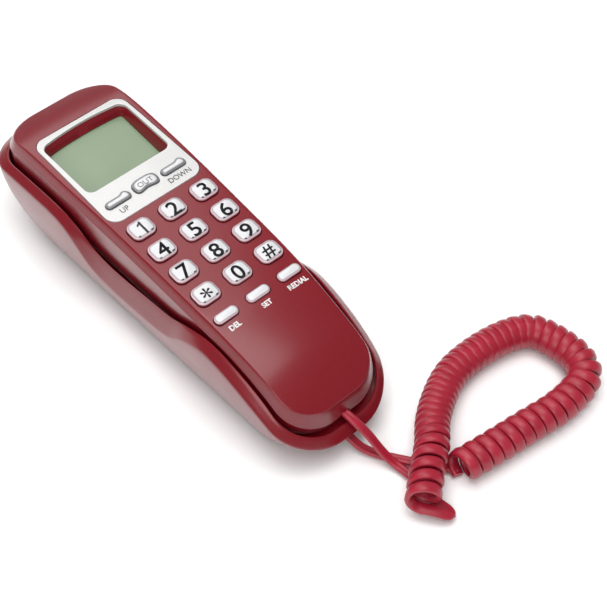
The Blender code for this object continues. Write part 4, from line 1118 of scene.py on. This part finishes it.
def hull_outline(fraction, inset=0.0):
    """Plan of the base at a fraction of its band's height: it is undercut towards the floor."""
    back_inset = BACK_UNDERCUT * max(0.0, 1 - fraction) ** BACK_POWER
    front_inset = FRONT_UNDERCUT * max(0.0, 1 - fraction) ** FRONT_POWER

    def half(y):
        height = fraction * smooth(BAND_HEIGHT, y)
        undercut = SIDE_UNDERCUT * max(0.0, 1 - height / WALL_FULL) ** SIDE_POWER
        return smooth(BASE_HALF_WIDTH, y) - undercut - inset
    return outline(half, -BASE_END + front_inset + inset, BASE_END - back_inset - inset,
                   tuple(radius - inset for radius in BASE_CORNER_FRONT),
                   tuple(radius - inset for radius in BASE_CORNER_BACK))


def tray_outline(grow):
    return [(x, HANDSET_ORIGIN.y + TRAY_SHIFT + y * math.cos(HANDSET_TILT))
            for x, y in handset_outline(BEVEL_OUT + RIM_GAP + grow)]


def between(lower, upper, t):
    return [tuple(a + (b - a) * t for a, b in zip(p, q)) for p, q in zip(lower, upper)]


def eased(before, corner, after):
    """The middle ring of a rounded edge: the corner pulled in towards its neighbours."""
    halfway, pull = 0.5, 0.45
    return between(corner, between(before, after, halfway), pull)


def make_base():
    def wall_ring(fraction, inset=0.0):
        return at_height(hull_outline(fraction, inset),
                         lambda y: FOOT_HEIGHT + fraction * (smooth(BAND_HEIGHT, y) - FOOT_HEIGHT))

    cavity_top = at_height(hull_outline(CAVITY_FRACTION, WALL + CAVITY_CLEARANCE),
                           lambda y: tray_floor(y) - WALL)
    loops = [cavity_top, wall_ring(0.25, WALL), wall_ring(0.0, WALL)]
    fractions = (0.0, 0.02, 0.06, 0.12, 0.2, 0.3, 0.42, 0.55, 0.68, 0.80, 0.90)
    loops += [wall_ring(fraction) for fraction in fractions]
    corner = wall_ring(1.0)
    rim = at_height(tray_outline(0.0), lambda y: smooth(RIM_HEIGHT, y))
    shoulder = [between(corner, rim, fraction) for fraction in (0.10, 0.35, 0.65, 0.90)]
    wall_end = wall_ring(0.975)
    lip = at_height(tray_outline(-LIP_IN), lambda y: smooth(RIM_HEIGHT, y) - LIP_DROP)
    loops += [wall_end, eased(wall_end, corner, shoulder[0]), *shoulder]
    loops += [eased(shoulder[-1], rim, lip), lip, at_height(tray_outline(-TRAY_IN), tray_floor)]
    mesh = loft("base_shell", loops, "mirrored")
    cutters = [box_mesh(*opening) for opening in BASE_OPENINGS]
    piece("base_shell", cut_mesh(mesh, cutters), SHELL, "base", "crimson_plastic",
          ["base_upper_shell"])


make_front_cover()
make_well()
make_fascia()
make_rear_cover()
make_keys()
make_fascia_keys()
make_base()


def finish_cad_nodes():
    """Give the CAD pieces that stay in sight their own materials."""
    groups = {
        "rubber": ("keypad_mat", "earpiece_gasket", "microphone_boot", "rubber_foot_1",
                   "rubber_foot_2", "rubber_foot_3", "rubber_foot_4"),
        "board": ("keypad_board", "display_board", "base_circuit_board"),
        "steel": ("earpiece_speaker", "microphone_capsule", "handset_weight", "handset_screw_1",
                  "handset_screw_2", "base_screw_1", "base_screw_2", "base_screw_3", "base_screw_4",
                  "hook_spring"),
        "black": ("handset_cord_socket", "base_cord_socket", "line_socket", "ringer_speaker",
                  "ringer_switch_body", "ringer_switch_knob", "hook_switch"),
        "white": ("hook_plunger",),
        "clear": ("handset_plug", "base_plug"),
        "shell": ("base_bottom_cover",),
        "lcd": ("lcd_glass",),
    }
    for finish, names in groups.items():
        for name in names:
            mesh = frame["nodes"][name].data
            mesh.materials.clear()
            mesh.materials.append(CAD_FINISHES[finish])


finish_cad_nodes()


# ------------------------------------------------------------------ floor and light
def make_stage():
    mesh = bpy.data.meshes.new("floor")
    bm = bmesh.new()
    bmesh.ops.create_grid(bm, x_segments=2, y_segments=2, size=6.0)
    bm.to_mesh(mesh)
    bm.free()
    floor = bpy.data.objects.new("floor", mesh)
    floor.location = (0, 0, -0.0001)
    made, _, shader = new_material("floor", (0.90, 0.90, 0.90), 0.9)
    shader.inputs["Specular IOR Level"].default_value = 0.0
    mesh.materials.append(made)
    bpy.context.scene.collection.objects.link(floor)
    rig.stage(floor)

    world = bpy.data.worlds.new("studio")
    world.use_nodes = True
    world.node_tree.nodes["Background"].inputs["Color"].default_value = (1.0, 1.0, 1.0, 1.0)
    world.node_tree.nodes["Background"].inputs["Strength"].default_value = 0.24
    bpy.context.scene.world = world

    def softbox(name, place, target, size, power, mirrored=True):
        data = bpy.data.lights.new(name, "AREA")
        data.shape = "RECTANGLE"
        data.size, data.size_y = size
        data.energy = power
        made = bpy.data.objects.new(name, data)
        made.location = place
        made.rotation_euler = (Vector(target) - Vector(place)).to_track_quat("-Z", "Y").to_euler()
        made.visible_glossy = mirrored
        bpy.context.scene.collection.objects.link(made)

    # The glossy face mirrors the tall back light. The fill is hidden from reflections.
    softbox("back", (0.265, 1.019, 1.343), (0, 0, 0.04), (1.05, 1.60), 8.5)
    softbox("front_left", (-1.30, -0.90, 1.30), (0, 0, 0.02), (1.2, 1.2), 12.0)
    softbox("overhead", (0.10, 0.02, 1.90), (0, 0, 0), (0.90, 0.90), 7.0)
    softbox("fill", (-0.20, -0.20, 1.90), (0, 0, 0), (1.6, 1.6), 26.0, False)
    scene = bpy.context.scene
    scene.view_settings.view_transform = "Standard"
    scene.view_settings.look = "None"


make_stage()

low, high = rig.bounds()
with open("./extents.json", "w") as out:
    json.dump({"cad": [list(cad_box[0]), list(cad_box[1])], "visual": [list(low), list(high)]}, out)
